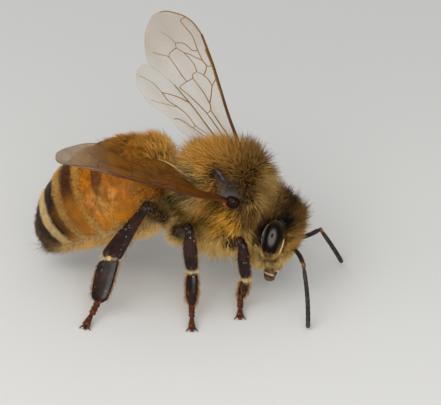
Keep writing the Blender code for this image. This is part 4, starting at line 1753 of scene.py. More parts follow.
    def grow_lashes(self) -> None:
        """Grows the short soft hair over the lower part of each eye."""
        tufts = TuftSet("lash_tufts", hairs=3, thickness=0.014, spread=0.20, bend=0.20, seed=22).make()
        hair = CoatFinish("lash_hair", Marks.HEAD, root_shade=0.75, tip_paleness=0.10, variety=0.7).make()
        inward = self.matrix.inverted()
        for side in Side:
            eye = ball_grid((0, 0, 0), self.eye_radii, self.matrix @ self.eye_matrix(side), rows=40, sides=56)
            skin = Grid(eye.points, apply_matrix(inward, eye.points))
            local = apply_matrix(self.eye_matrix(side).inverted(), skin.place)
            outside = ease(local[..., 1] * side.value, -0.05, 0.10)
            thick = 900 * ease(local[..., 2], -0.40, -0.85) * outside
            lie = np.array(self.matrix)[:3, :3] @ [0.1, 0.0, 1.0]
            Coat(f"eye_{side.word}_lashes", skin, thick, 0.20, lie, 0.45, tufts, hair, ("head",),
                 Slot.COAT_HEAD, seed=14 + side.value, clump=0.20, clump_scale=3.0).grow(0.3)

    def build_ocelli(self) -> None:
        """Builds the three simple eyes on the crown, in one piece."""
        shell = Shell()
        for centre in ((0.36, 0.0, 1.56), (0.08, 0.26, 1.63), (0.08, -0.26, 1.63)):
            shell.add(ball_grid(centre, (0.095, 0.095, 0.090), self.matrix, rows=12, sides=18))
        finish = CuticleFinish("ocellus_shell", (0.06, 0.025, 0.010), (0.02, 0.010, 0.006), roughness=0.06,
                               depth=0.02, gloss=1.0, shine=1.0)
        add_piece("ocelli", shell, finish.make(), ("head",))

    def build_mouth(self) -> None:
        """Builds the jaws, the lip plate above them and the folded tongue behind."""
        jaw = CuticleFinish("jaw_shell", (0.17, 0.075, 0.030), (0.045, 0.020, 0.010), roughness=0.30,
                            mottle=4.0, dust=0.4).make()
        for side in Side:
            path = smooth_path([(x, y * side.value, z) for x, y, z in self.jaw_path], 6)
            path = apply_matrix(self.matrix, path)
            radii = Profile(((0, 0.20), (0.25, 0.25), (0.6, 0.25), (0.9, 0.22), (1, 0.13))).at(
                np.linspace(0, 1, len(path)))[:, 0]
            grid = tube_grid(path, radii, 20, Vector((0, 1, 0)), 0.62)
            add_piece(f"mandible_{side.word}_blade", grid, jaw, (f"mandible_{side.word}",))
        lip = CuticleFinish("lip_shell", (0.62, 0.48, 0.29), (0.26, 0.16, 0.08), roughness=0.4,
                            mottle=5.0).make()
        plates = Shell().add(ball_grid((0.78, 0.0, -1.46), (0.15, 0.42, 0.12), self.matrix, rows=14,
                                       sides=24))
        for side in Side:
            plates.add(ball_grid((0.44, 0.74 * side.value, -1.52), (0.25, 0.14, 0.06), self.matrix, rows=12,
                                 sides=20))
        add_piece("lip_plate", plates, lip, ("head",))
        shell = Shell()
        path = apply_matrix(self.matrix, smooth_path(self.tongue_path, 8))
        share = np.linspace(0, 1, len(path))
        shell.add(tube_grid(path, 0.13 + 0.08 * np.sin(np.pi * share), 20))
        for side in Side:
            beside = apply_matrix(self.matrix, smooth_path(
                [(x + 0.03, 0.15 * side.value, z) for x, _, z in self.tongue_path], 8))
            shell.add(tube_grid(beside, 0.09 + 0.06 * np.sin(np.pi * share), 16, Vector((0, 1, 0)), 0.6))
        tongue = CuticleFinish("tongue_shell", (0.22, 0.11, 0.045), (0.08, 0.035, 0.016), roughness=0.3,
                               mottle=3.0).make()
        add_piece("tongue", shell, tongue, ("proboscis",))


# ------------------------------------------------------------------------------------------- abdomen


@dataclass
class Abdomen:
    """The six ringed plates of the abdomen on a bent line, and their coats.

    Args:
        start: The line's start at the waist.
        bend: The point that the line bends towards.
        tip: The line's end.
        girth: The half height against the place along the line.
        borders: Where each plate ends.
        flatten: The half width over the half height.
        tuck: How far each plate reaches in under the one before it, as a share of the line.
        columns: How many points go round a plate.
        plate_rows: How many rows of points a plate has.
    """

    start: tuple[float, float, float] = (-2.48, 0.0, 4.62)
    bend: tuple[float, float, float] = (-5.55, 0.0, 4.95)
    tip: tuple[float, float, float] = (-8.36, 0.0, 1.22)
    girth: Rows = (
        (0.00, 0.80), (0.03, 1.38), (0.08, 1.86), (0.16, 2.16), (0.28, 2.24), (0.42, 2.20), (0.56, 2.08),
        (0.68, 1.88), (0.78, 1.60), (0.87, 1.22), (0.94, 0.80), (1.00, 0.26),
    )
    borders: tuple[float, ...] = (0.0, 0.15, 0.42, 0.62, 0.76, 0.88, 1.0)
    flatten: float = 1.04
    tuck: float = 0.05
    columns: int = 120
    plate_rows: int = 30

    def line(self, places: np.ndarray) -> tuple[np.ndarray, np.ndarray]:
        """Reads the middle line.

        Args:
            places: Shares of the way along it.

        Returns:
            Its points and the way up out of it at each.
        """
        start, bend, tip = (np.array(point) for point in (self.start, self.bend, self.tip))
        share = places[:, None]
        points = (1 - share) ** 2 * start + 2 * share * (1 - share) * bend + share**2 * tip
        heading = unit(2 * (1 - share) * (bend - start) + 2 * share * (tip - bend))
        up = np.cross(heading, np.array([0.0, 1.0, 0.0]))
        return points, up if up[0, 2] > 0 else -up

    def ring_points(self, places: np.ndarray, extra: np.ndarray, plate_share: np.ndarray) -> Grid:
        """Lays rings round the line.

        Args:
            places: Where each ring is.
            extra: How much further out each ring lies.
            plate_share: Each ring's share of its plate, for the markings.

        Returns:
            The skin.
        """
        points, up = self.line(places)
        height = Profile(self.girth).at(places)[:, 0] + extra
        angle = np.pi + 2 * np.pi * np.arange(self.columns) / self.columns
        rise = np.cos(angle)[None, :]
        rise = np.where(rise < 0, rise * (0.97 + 0.05 * hump(angle[None, :] - 2 * np.pi, 0.4)), rise)
        wide = np.sin(angle)[None, :]
        round_share = np.abs((angle + np.pi) % (2 * np.pi) - np.pi) / np.pi
        step = 0.05 * ease(round_share, 0.665, 0.645)[None, :] - 0.05
        size = height[:, None] + step * ease(places[:, None], 0.0, 0.15)
        ring = (points[:, None] + up[:, None] * (size * rise)[..., None]
                + np.array([0.0, 1.0, 0.0]) * (size * self.flatten * wide)[..., None])
        place = np.stack(np.broadcast_arrays(places[:, None], round_share[None, :], plate_share[:, None]),
                         axis=-1)
        return Grid(ring, place)

    def plate(self, number: int) -> Grid:
        """Shapes one plate: tucked in under the one before, with a lip at its rear edge.

        Args:
            number: Which plate it is, from 1.

        Returns:
            Its skin.
        """
        low, high = self.borders[number - 1], self.borders[number]
        tuck = self.tuck if number > 1 else 0.0
        share = np.concatenate([[-tuck, -tuck / 2], np.linspace(0, 1, self.plate_rows)])
        places = np.where(share < 0, low + share, low + share * (high - low))
        extra = np.where(share < 0, -0.10, -0.055 * (1 - ease(share, 0.0, 0.22)) if number > 1 else 0.0)
        extra = extra + 0.035 * ease(share, 0.55, 1.0) * (number < 6)
        if number < 6:
            places = np.append(places, [high + 0.002, high - 0.004])
            extra = np.append(extra, [0.005, -0.06])
            share = np.append(share, [1.0, 1.0])
        return self.ring_points(places, extra, np.clip(share, 0, 1))

    def coat_bed(self, count: int = 150) -> Grid:
        """Lays one skin over all the plates for the coat to grow on.

        Args:
            count: How many rings it has.

        Returns:
            The skin.
        """
        places = np.linspace(0.01, 0.992, count)
        borders = np.array(self.borders)
        number = np.clip(np.searchsorted(borders, places, side="right") - 1, 0, 5)
        share = (places - borders[number]) / (borders[number + 1] - borders[number])
        extra = np.where(number > 0, -0.055 * (1 - ease(share, 0.0, 0.22)), 0.0)
        extra = extra + 0.035 * ease(share, 0.55, 1.0) * (number < 5)
        return self.ring_points(places, extra, share)

    def build(self) -> None:
        """Builds and dresses the abdomen."""
        finish = MarkedFinish("abdomen_shell", (0.3, 0.12, 0.02), (0.05, 0.02, 0.008), roughness=0.34,
                              mottle=1.6, grain=34.0, depth=0.30, gloss=0.04, shine=0.09, dust=0.35,
                              marks=Marks.ABDOMEN).make()
        slots = (Slot.PLATE_AMBER,) * 3 + (Slot.PLATE_BANDED,) * 2 + (Slot.PLATE_DARK,)
        for number, slot in enumerate(slots, start=1):
            name = f"abdomen_plate_{number}"
            add_piece(name, self.plate(number), finish, (f"abdomen_{number}",))
        self.build_coats()

    def build_coats(self) -> None:
        """Grows the long coat of the first plates, the felted bands and the fuzz of the belly."""
        grid = self.coat_bed()
        along, around, _ = np.moveaxis(grid.place, -1, 0)
        nodes = tuple(f"abdomen_{number}" for number in range(1, 7))
        finish = CoatFinish("abdomen_hair", Marks.ABDOMEN, "Coat Colour", root_shade=0.30, tip_paleness=0.20,
                            variety=1.0, strands=34.0).make()
        lie = np.gradient(grid.points, axis=0)
        low = ease(around, 0.40, 0.62)
        common = {"skin": grid, "lie": lie, "finish": finish, "nodes": nodes}

        long_tufts = TuftSet("long_tufts", hairs=3, thickness=0.0125, spread=0.20, bend=0.30, seed=31).make()
        front = ease(along, 0.20, 0.09)
        flank = ease(around, 0.24, 0.34) * ease(around, 0.66, 0.52)
        ridge = ease(around, 0.25, 0.08) + ease(around, 0.75, 0.92)
        thick = 130 * front + (26 + 62 * ridge) * ease(along, 0.42, 0.24) * (1 - front)
        thick = thick * (1 - 0.4 * low) * (1 - 0.72 * flank)
        length = 0.54 * ease(along, 0.20, 0.04) + 0.24 + 0.16 * ridge * (1 - front)
        Coat("abdomen_long_coat", thick=thick, length=length, lift=0.64 - 0.16 * ease(along, 0.1, 0.3),
             tufts=long_tufts, slot=Slot.PLATE_AMBER, seed=7, clump=0.30, scatter=0.22, **common).grow()

        felt = TuftSet("felt_tufts", hairs=3, thickness=0.036, gather=0.14, spread=0.34, bend=0.30,
                       seed=41).make()
        level = along - BAND_SLANT * ease(around, 0.12, 0.42)
        bands = (ease(level, 0.455, 0.50) * ease(level, 0.55, 0.52)
                 + ease(level, 0.622, 0.632) * ease(level, 0.695, 0.66)
                 + 1.5 * ease(level, 0.760, 0.770) * ease(level, 0.835, 0.81))
        upper = ease(around, 0.80, 0.60)
        patchy = np.array([noise.noise(Vector(point) * 3.2) for point in grid.points.reshape(-1, 3)])
        patchy = np.clip(1 + 0.9 * patchy.reshape(along.shape), 0.2, 1.5)
        lower = ease(around, 0.34, 0.47) * ease(around, 0.74, 0.62)
        lower = lower * ease(along, 0.22, 0.34) * ease(along, 0.52, 0.44)
        Coat("abdomen_band_coat", thick=(620 * bands * upper + 60 * lower * (1 - bands)) * patchy,
             length=0.155, lift=0.52, tufts=felt, slot=Slot.PLATE_BANDED, seed=8, clump=0.22, clump_scale=4.0,
             scatter=0.42, parts=2, **common).grow()

        fuzz = TuftSet("fuzz_tufts", hairs=3, thickness=0.020, gather=0.10, spread=0.28, bend=0.30,
                       seed=51).make()
        belly = ease(around, 0.56, 0.74) * ease(along, 0.02, 0.12)
        tail = ease(along, 0.82, 0.92)
        thin = (1 - belly) * ease(along, 0.15, 0.35)
        thick = 250 * belly + 150 * tail * (1 - belly) + 16 * thin
        length = 0.17 + 0.34 * belly + 0.12 * tail
        Coat("abdomen_fuzz", thick=thick, length=length, lift=0.42 + 0.20 * belly, tufts=fuzz,
             slot=Slot.PLATE_AMBER, seed=9, clump=0.30, clump_scale=2.4, scatter=0.30, parts=2,
             **common).grow()


# -------------------------------------------------------------------------------------------- feelers


@dataclass
class Feeler:
    """One bent feeler: a slim shaft, a reddish elbow and a flail of ten beads, its tip on the floor.

    Args:
        side: The side it is on.
        socket: Where it leaves the face.
        elbow: Where it bends.
        tip: The middle of its last bead.
        beads: How many beads its flail has.
        radius: The beads' radius.
    """

    side: Side
    socket: tuple[float, float, float]
    elbow: tuple[float, float, float]
    tip: tuple[float, float, float]
    beads: int = 10
    radius: float = 0.105

    def build(self, shaft: Material, flail: Material, red: Material) -> None:
        """Builds and dresses the feeler.

        Args:
            shaft: The finish of its first length.
            flail: The finish of its beads.
            red: The finish of its elbow.
        """
        socket, elbow, tip = (np.array(point) for point in (self.socket, self.elbow, self.tip))
        reach = elbow - socket
        bow = np.cross(unit(reach), np.array([0.0, 0.0, 1.0])) * 0.06 * self.side.value
        path = smooth_path([socket - reach * 0.10, socket + reach * 0.12, socket + reach * 0.5 + bow,
                            elbow - reach * 0.05], 8)
        share = np.linspace(0, 1, len(path))
        radii = Profile(((0, 0.085), (0.06, 0.12), (0.13, 0.082), (0.35, 0.10), (0.9, 0.108), (1, 0.07)))
        radii = radii.at(share)
        shell = Shell().add(tube_grid(path, radii[:, 0], 20))
        name = f"scape_{self.side.word}"
        add_piece(f"{name}_shaft", shell, shaft, (name,))
        run = unit(tip - elbow)
        elbow_piece = tube_grid(np.array([elbow + run * d for d in (-0.08, -0.04, 0.04, 0.13, 0.20)]),
                                np.array([0.045, 0.085, 0.098, 0.092, 0.06]), 18)
        add_piece(f"{name}_elbow", elbow_piece, red, (name,))
        self.build_flail(elbow + run * 0.18, tip, flail)

    def build_flail(self, start: np.ndarray, tip: np.ndarray, flail: Material) -> None:
        """Builds the beads: the first is short and narrow at its base and the last is rounded.

        Args:
            start: Where they start.
            tip: The middle of the last bead's end.
            flail: Their finish.
        """
        per_bead = 8
        share = np.linspace(0, 1, self.beads * per_bead + 1)
        sag = np.cross(unit(tip - start), np.array([0.0, 0.0, 1.0])) * 0.10 * self.side.value
        path = start + share[:, None] * (tip - start) + (np.sin(np.pi * share)[:, None] * sag)
        waist = np.abs(((share * self.beads + 0.5) % 1) - 0.5)
        radii = self.radius * (1 - 0.13 * hump(waist, 0.12))
        radii *= Profile(((0, 0.62), (0.10, 0.92), (0.9, 1.0), (0.985, 0.86), (1, 0.45))).at(share)[:, 0]
        path[:, 2] = np.maximum(path[:, 2], radii + 0.01)
        name = f"flagellum_{self.side.word}"
        add_piece(f"{name}_beads", tube_grid(path, radii, 18), flail, (name,))


# ----------------------------------------------------------------------------------------------- legs


# How each length swells: place along it, share of its widest half width.
SWELLS: dict[Length, Rows] = {
    Length.COXA: ((0.0, 0.60), (0.3, 1.0), (0.75, 0.82), (1.0, 0.45)),
    Length.FEMUR: ((0.0, 0.40), (0.06, 0.55), (0.35, 1.0), (0.75, 0.86), (0.94, 0.74), (1.0, 0.42)),
    Length.TIBIA: ((0.0, 0.42), (0.05, 0.58), (0.25, 0.84), (0.50, 1.0), (0.78, 0.95), (0.94, 0.76),
                   (1.0, 0.50)),
    Length.BASITARSUS: ((0.0, 0.50), (0.06, 0.80), (0.30, 1.0), (0.60, 0.98), (0.88, 0.72), (1.0, 0.40)),
}
# The same for the broad lengths of a hind leg.
BROAD_SWELLS: dict[Length, Rows] = {
    Length.TIBIA: ((0.0, 0.30), (0.05, 0.42), (0.30, 0.60), (0.70, 0.90), (0.93, 1.0), (1.0, 0.60)),
    Length.BASITARSUS: ((0.0, 0.62), (0.05, 0.94), (0.40, 1.0), (0.88, 0.84), (1.0, 0.45)),
}


@dataclass
class Leg:
    """One leg: its shell lengths, its foot with two claws, and its hair.

    Args:
        pair: Which pair it belongs to.
        side: The side it is on.
        joints: Body end, trochanter, knee, end of tibia, end of basitarsus and foot.
        sections: The half width and half thickness of each length.
        columns: How many points go round a length.
        rows: How many rows of points a length has.
    """

    pair: Pair
    side: Side
    joints: Rows
    sections: dict[Length, tuple[float, float]]
    columns: int = 32
    rows: int = 26

    @property
    def label(self) -> str:
        """The leg's name in the solids."""
        return f"{self.pair.value}_{self.side.word}"

    def thin_way(self, heading: np.ndarray) -> Vector:
        """The way the leg's lengths are thin."""
        return Vector(np.cross(heading, np.array([1.0, 0.25 * self.side.value, 0.0]))).normalized()

    def length_grid(self, length: Length) -> Grid:
        """Shapes one length of the leg.

        Args:
            length: Which length.

        Returns:
            Its skin.
        """
        number = list(Length).index(length)
        start, end = (np.array(self.joints[number + i]) for i in (0, 1))
        reach = end - start
        heading = unit(reach)
        thin = self.thin_way(heading)
        broad = self.pair is Pair.HIND and length in BROAD_SWELLS
        swell = (BROAD_SWELLS if broad else SWELLS)[length]
        width, thickness = self.sections[length]
        share = 0.5 - 0.5 * np.cos(np.linspace(0.02, np.pi - 0.02, self.rows))
        inset = 0.04 / np.linalg.norm(reach)
        bow = {Length.FEMUR: 0.05, Length.TIBIA: 0.04}.get(length, 0.0)
        path = start + (inset + share * (1 - 1.2 * inset))[:, None] * reach
        path = path + (np.sin(np.pi * share) * bow)[:, None] * np.cross(heading, np.array(thin))
        radii = width * Profile(swell).at(share)[:, 0]
        flat = np.clip(thickness / width * (1.35 - 0.35 * ease(radii / width, 0.4, 1.0)), 0, 1)
        grid = tube_grid(path, radii, self.columns, thin, flat, 0.92)
        if broad:
            slope, ends = (0.42, (0.45, 1.0)) if length is Length.TIBIA else (0.36, (0.35, 0.0))
            across = (grid.points - path[:, None])[..., 0]
            grid.points = grid.points - heading * (slope * across * ease(share, *ends)[:, None])[..., None]
        if broad and length is Length.TIBIA:
            outward = np.array([0.0, self.side.value, 0.0])
            facing = ease((grid.normals * outward).sum(axis=-1), 0.55, 0.95)
            grid = grid.moved(-0.07 * facing * ease(share, 0.25, 0.6)[:, None])
        grid.place = grid.points
        return grid

    def build(self, finishes: dict[str, Material], tufts: bpy.types.Collection) -> None:
        """Builds and dresses the leg.

        Args:
            finishes: The legs' finishes by name.
            tufts: The tufts of their hair.
        """
        grids = []
        for length in (Length.COXA, Length.FEMUR, Length.TIBIA, Length.BASITARSUS):
            node = f"{length.value}_{self.label}"
            grid = self.length_grid(length)
            grids.append(grid)
            shell = Shell().add(grid)
            if length is Length.FEMUR:
                self.add_trochanter(shell)
            if length is Length.TIBIA and self.pair is not Pair.HIND:
                self.add_spur(shell)
            add_piece(f"{node}_shell", shell, finishes["shell"], (node,))
        self.build_joints(finishes["joint"])
        foot = self.build_foot(finishes["foot"], finishes["claw"])
        self.build_hair(grids + [foot], finishes["hair"], tufts)

    def add_trochanter(self, shell: Shell) -> None:
        """Adds the short ring between coxa and femur."""
        hip, knee = np.array(self.joints[1]), np.array(self.joints[2])
        shell.add(ball_grid(tuple(hip + 0.08 * (knee - hip)), (0.22, 0.22, 0.22), None, 12, 20))

    def add_spur(self, shell: Shell) -> None:
        """Adds the small spur at the end of the shin.

        Args:
            shell: The shell that takes it.
        """
        knee, ankle = np.array(self.joints[2]), np.array(self.joints[3])
        heading = unit(ankle - knee)
        across = np.cross(heading, np.array(self.thin_way(heading)))
        root = ankle - heading * 0.16 + across * 0.17
        path = smooth_path([root, root + heading * 0.18 + across * 0.07,
                            root + heading * 0.36 + across * 0.08], 4)
        shell.add(tube_grid(path, np.linspace(0.045, 0.008, len(path)), 8))

    def build_joints(self, finish: Material) -> None:
        """Builds the soft joints that show between the lengths, in one piece.

        Args:
            finish: Their finish.
        """
        shell = Shell()
        for number, size in ((3, 0.19), (4, 0.11)):
            shell.add(ball_grid(tuple(self.joints[number]), (size, size, size), None, 12, 18))
        name = f"leg_joints_{self.label}"
        nodes = tuple(f"{part}_{self.label}" for part in ("tibia", "basitarsus"))
        add_piece(name, shell, finish, nodes)

    def foot_path(self) -> np.ndarray:
        """Draws the line of the foot, which comes down and then lies along the floor.

        Returns:
            Its points.
        """
        ankle, foot = np.array(self.joints[4]), np.array(self.joints[5])
        reach = foot - ankle
        turn = ankle + reach * 0.62 + np.array([0.0, 0.0, 0.02])
        path = [ankle - reach * 0.04, ankle + reach * 0.3, turn, foot + np.array([0.0, 0.0, 0.02])]
        return smooth_path(path, 14)

    def build_foot(self, finish: Material, claw: Material) -> Grid:
        """Builds the foot's beads, its pad and its two claws.

        Args:
            finish: The foot's finish.
            claw: The claws' finish.

        Returns:
            The skin of the beads, for the hair.
        """
        path = self.foot_path()
        share = np.linspace(0, 1, len(path))
        size = self.sections[Length.TARSUS][0]
        bead = np.where(share < 0.52, (share / 0.52 * 3) % 1, (share - 0.52) / 0.48)
        radii = size * np.where(share < 0.52, 0.54 + 0.34 * bead, 0.44 + 0.58 * bead**1.2)
        radii[-1] *= 0.6
        heading = unit(path[-1] - path[-4])
        grid = tube_grid(path, radii, self.columns, None, 0.85)
        grid.points[..., 2] = np.maximum(grid.points[..., 2], 0.004)
        grid.place = grid.points
        shell = Shell().add(grid)
        end = path[-1]
        pad = np.array([end[0], end[1], 0.07]) + heading * [0.10, 0.10, 0.0]
        shell.add(ball_grid(tuple(pad), (0.10, 0.10, 0.062), None, 10, 16))
        node = f"tarsus_{self.label}"
        add_piece(f"{node}_beads", shell, finish, (node,))
        claws = Shell()
        flat = unit(heading * [1.0, 1.0, 0.0])
        aside = np.array([-flat[1], flat[0], 0.0])
        for sign in (-1, 1):
            root = np.array([end[0], end[1], 0.14]) + aside * 0.06 * sign
            curve = [root - flat * 0.04, root + flat * 0.08 + aside * 0.08 * sign,
                     root + flat * 0.13 + aside * 0.16 * sign + [0, 0, -0.05],
                     root + flat * 0.13 + aside * 0.21 * sign + [0, 0, -0.125]]
            line = smooth_path(curve, 4)
            claws.add(tube_grid(line, np.linspace(0.060, 0.010, len(line)), 10))
        add_piece(f"claws_{self.label}", claws, claw, (node,))
        return grid

    def build_hair(self, grids: Sequence[Grid], finish: Material, tufts: bpy.types.Collection) -> None:
        """Grows the leg's hair: long near the body, in rings at the joints and in combs on the feet.

        Args:
            grids: The skins of its lengths, from the body outwards.
            finish: The hair's finish.
            tufts: The tufts of the hair.
        """
        points = np.concatenate([grid.points for grid in grids])
        normals = np.concatenate([grid.normals for grid in grids])
        share = np.concatenate([np.repeat(np.linspace(0, 1, len(grid.points))[:, None], self.columns, axis=1)
                                + number for number, grid in enumerate(grids)])
        lie = np.concatenate([np.gradient(grid.points, axis=0) for grid in grids])
        skin = Grid(points, np.stack([share, 0 * share, 0 * share], axis=-1))
        thick, length, lift = self.hair_fields(share, normals)
        name = f"leg_hair_{self.label}"
        nodes = tuple(f"{part.value}_{self.label}" for part in Length)
        seed = 60 + 2 * list(Pair).index(self.pair) + (self.side is Side.LEFT)
        Coat(name, skin, thick, length, lie, lift, tufts, finish, nodes, Slot.LEG, seed=seed, clump=0.20,
             clump_scale=3.0, scatter=0.25).grow()

    def hair_fields(self, share: np.ndarray, normals: np.ndarray) -> tuple[np.ndarray, ...]:
        """Works out the leg's hair.

        Args:
            share: The number of the length plus the share of the way along it.
            normals: The outward normals.

        Returns:
            How thick, how long and how upright it stands.
        """
        hind = self.pair is Pair.HIND
        near_body = ease(share, 1.95, 1.70) if hind else ease(share, 1.62, 1.20)
        ring = hump(share - 2.94, 0.085) + 0.7 * hump(share - 3.97, 0.04)
        fringe = ease(np.abs(normals[..., 0]), 0.70, 0.95)
        brush = ease(share, 3.02, 3.1) * ease(share, 4.0, 3.92)
        shin = ease(share, 2.02, 2.15) * ease(share, 2.95, 2.85)
        toes = ease(share, 4.0, 4.05)
        thick = 170 * near_body + (900 - 680 * hind) * ring
        thick = thick + (2 + 26 * (self.pair is Pair.FORE) + 420 * fringe) * brush
        thick = thick + (1 + (110 + 20 * hind) * fringe) * shin
        thick = thick + 40 * toes + 70 * (1 - hind) * hump(share - 1.52, 0.30) * (1 - near_body)
        length = 0.20 + 0.24 * near_body + 0.02 * ring + 0.07 * brush + (0.05 + 0.22 * hind) * fringe * shin
        length = length - 0.06 * toes + 0.35 * ease(share, 1.15, 0.6)
        return thick, length, 0.42 + 0.08 * ring + 0.10 * fringe


# ---------------------------------------------------------------------------------------------- wings


@dataclass(frozen=True)
class WingFinish:
    """The clear brown skin of a wing, which turns more solid at a slant.

    Args:
        name: The material's name.
        clear: Its colour where it is thin.
        smoky: Its colour in its cloudy parts.
        root: Its colour near the hinge.
        outer: Its colour toward the tip.
        alpha: How solid each face is when seen straight on.
        slant: How much more solid it is at a slant.
        root_alpha: How much more solid it is near the hinge.
        outer_alpha: How much more solid it is toward the tip.
    """

    name: str
    clear: Colour = (0.26, 0.105, 0.012)
    smoky: Colour = (0.12, 0.040, 0.005)
    root: Colour = (0.092, 0.022, 0.001)
    outer: Colour = (0.37, 0.265, 0.165)
    alpha: float = 0.30
    slant: float = 0.45
    root_alpha: float = 0.52
    outer_alpha: float = 0.15

    def make(self) -> Material:
        """Makes the finish.

        Returns:
            Its material.
        """
        material, graph, shader = new_material(self.name)
        place = graph.attribute("place", "Vector")
        cloud = graph.rise(graph.noise(place, 1.3), 0.35, 0.70)
        root = graph.rise(graph.axes(place)[0], 4.6, 1.2)
        outer = graph.rise(graph.axes(place)[0], 5.4, 8.2)
        colour = graph.mix(graph.times(root, 0.8), graph.mix(cloud, self.clear, self.smoky), self.root)
        colour = graph.mix(graph.times(outer, 0.9), colour, self.outer)
        slant = graph.node("ShaderNodeLayerWeight", {"Blend": 0.25}).outputs["Facing"]
        alpha = graph.add(self.alpha, graph.times(cloud, 0.5 * self.alpha))
        alpha = graph.add(alpha, graph.times(root, self.root_alpha))
        alpha = graph.add(alpha, graph.times(outer, self.outer_alpha))
        graph.fill(shader, {
            "Base Color": colour,
            "Alpha": graph.add(alpha, graph.times(slant, self.slant), clamp=True),
            "Roughness": graph.add(0.22, graph.times(cloud, 0.12)),
            "Normal": graph.bump(graph.noise(place, 5.0, 4.0, 0.6), 0.35, 0.03),
            "IOR": BODY_IOR, "Specular IOR Level": 0.07,
        })
        return material


# Veins of the forewing, as span and chord from the hinge; a radius leads each row.
FORE_VEINS: tuple[tuple[float, Rows], ...] = (
    (0.088, ((0.15, -0.10), (1.15, -0.31), (2.45, -0.52), (4.33, -0.93), (5.62, -1.23), (7.06, -1.45))),
    (0.036, ((7.06, -1.45), (7.72, -1.37), (8.18, -1.18), (8.62, -0.81), (8.88, -0.47), (8.93, -0.18))),
    (0.048, ((0.30, 0.00), (1.60, -0.32), (3.00, -0.62), (4.30, -0.86), (5.20, -1.08), (6.30, -1.24))),
    (0.042, ((0.30, 0.08), (1.64, -0.05), (2.42, 0.02), (3.16, 0.10))),
    (0.026, ((3.16, 0.10), (3.10, 0.34))),
    (0.032, ((3.16, 0.10), (3.54, -0.04), (4.06, -0.05), (4.59, -0.01), (5.05, 0.06))),
    (0.030, ((3.54, -0.04), (3.91, -0.31), (4.33, -0.58), (4.58, -0.87), (4.66, -0.96))),
    (0.024, ((5.05, 0.06), (5.27, -0.05), (5.35, -0.30))),
    (0.024, ((5.05, 0.06), (5.00, 0.41), (4.95, 0.69), (4.85, 0.88))),
    (0.024, ((5.00, 0.41), (5.46, 0.48), (5.99, 0.52), (6.50, 0.59), (6.86, 0.96), (7.05, 1.15))),
    (0.028, ((4.33, -0.58), (4.68, -0.58), (5.03, -0.50), (5.35, -0.30))),
    (0.026, ((5.35, -0.30), (5.68, -0.37), (6.10, -0.32), (6.46, -0.20), (6.83, 0.03))),
    (0.028, ((5.03, -0.50), (5.21, -0.70), (5.39, -0.87), (5.30, -1.15))),
    (0.028, ((5.39, -0.87), (5.72, -0.81), (6.07, -0.57), (6.37, -0.36), (6.49, -0.19))),
    (0.028, ((5.72, -0.81), (6.31, -0.85), (7.14, -0.97), (7.86, -0.87), (8.13, -0.85), (8.21, -1.12))),
    (0.024, ((6.31, -0.85), (6.45, -0.61), (6.78, -0.52), (7.02, -0.33), (7.08, -0.07), (6.83, 0.03))),
    (0.014, ((7.08, -0.07), (7.43, 0.03), (7.93, 0.30))),
    (0.022, ((6.83, 0.03), (6.66, 0.46), (6.50, 0.59))),
    (0.034, ((0.30, 0.14), (2.03, 0.22), (3.10, 0.34), (3.60, 0.45), (4.27, 0.63), (4.87, 0.86))),
)
# Veins of the hindwing.
HIND_VEINS: tuple[tuple[float, Rows], ...] = (
    (0.042, ((0.30, 0.22), (1.89, 0.50), (2.68, 0.62), (3.95, 0.79), (4.69, 0.93), (5.09, 1.02))),
    (0.030, ((3.95, 0.79), (4.35, 1.11), (4.70, 1.45), (4.95, 1.74))),
    (0.016, ((4.95, 1.74), (5.42, 1.86), (5.78, 2.04), (6.12, 2.30))),
    (0.026, ((4.95, 1.74), (4.49, 1.67), (3.97, 1.41), (3.38, 1.20), (2.74, 1.11), (2.28, 0.88),
             (1.40, 0.48))),
    (0.016, ((3.97, 1.41), (4.25, 1.79), (4.50, 2.18), (4.74, 2.42))),
    (0.020, ((2.74, 1.11), (2.69, 1.29))),
    (0.024, ((3.42, 1.90), (3.38, 1.77), (2.69, 1.29), (2.11, 0.96), (1.30, 0.58))),
)
FORE_LEADING: Rows = (
    (0.15, -0.14), (1.15, -0.35), (2.45, -0.57), (4.33, -0.99), (5.62, -1.29), (7.06, -1.50), (7.74, -1.42),
    (8.22, -1.22), (8.65, -0.84), (8.91, -0.48), (8.96, -0.14),
)
FORE_TRAILING: Rows = (
    (0.15, 0.16), (1.64, 0.34), (3.10, 0.58), (3.95, 0.77), (4.87, 1.00), (5.34, 1.17), (5.93, 1.40),
    (6.50, 1.64), (7.02, 1.53), (7.56, 1.32), (8.16, 0.98), (8.55, 0.62), (8.86, 0.22), (8.96, -0.14),
)
HIND_LEADING: Rows = (
    (0.20, 0.18), (1.89, 0.46), (3.19, 0.64), (4.69, 0.90), (5.09, 0.99), (5.88, 1.36), (6.45, 1.64),
    (6.64, 1.90),
)
HIND_TRAILING: Rows = (
    (0.20, 0.34), (0.95, 0.80), (1.77, 1.20), (2.22, 1.59), (2.90, 1.94), (3.42, 2.00), (3.75, 2.10),
    (4.35, 2.42), (4.88, 2.61), (5.48, 2.67), (6.06, 2.52), (6.47, 2.23), (6.64, 1.90),
)


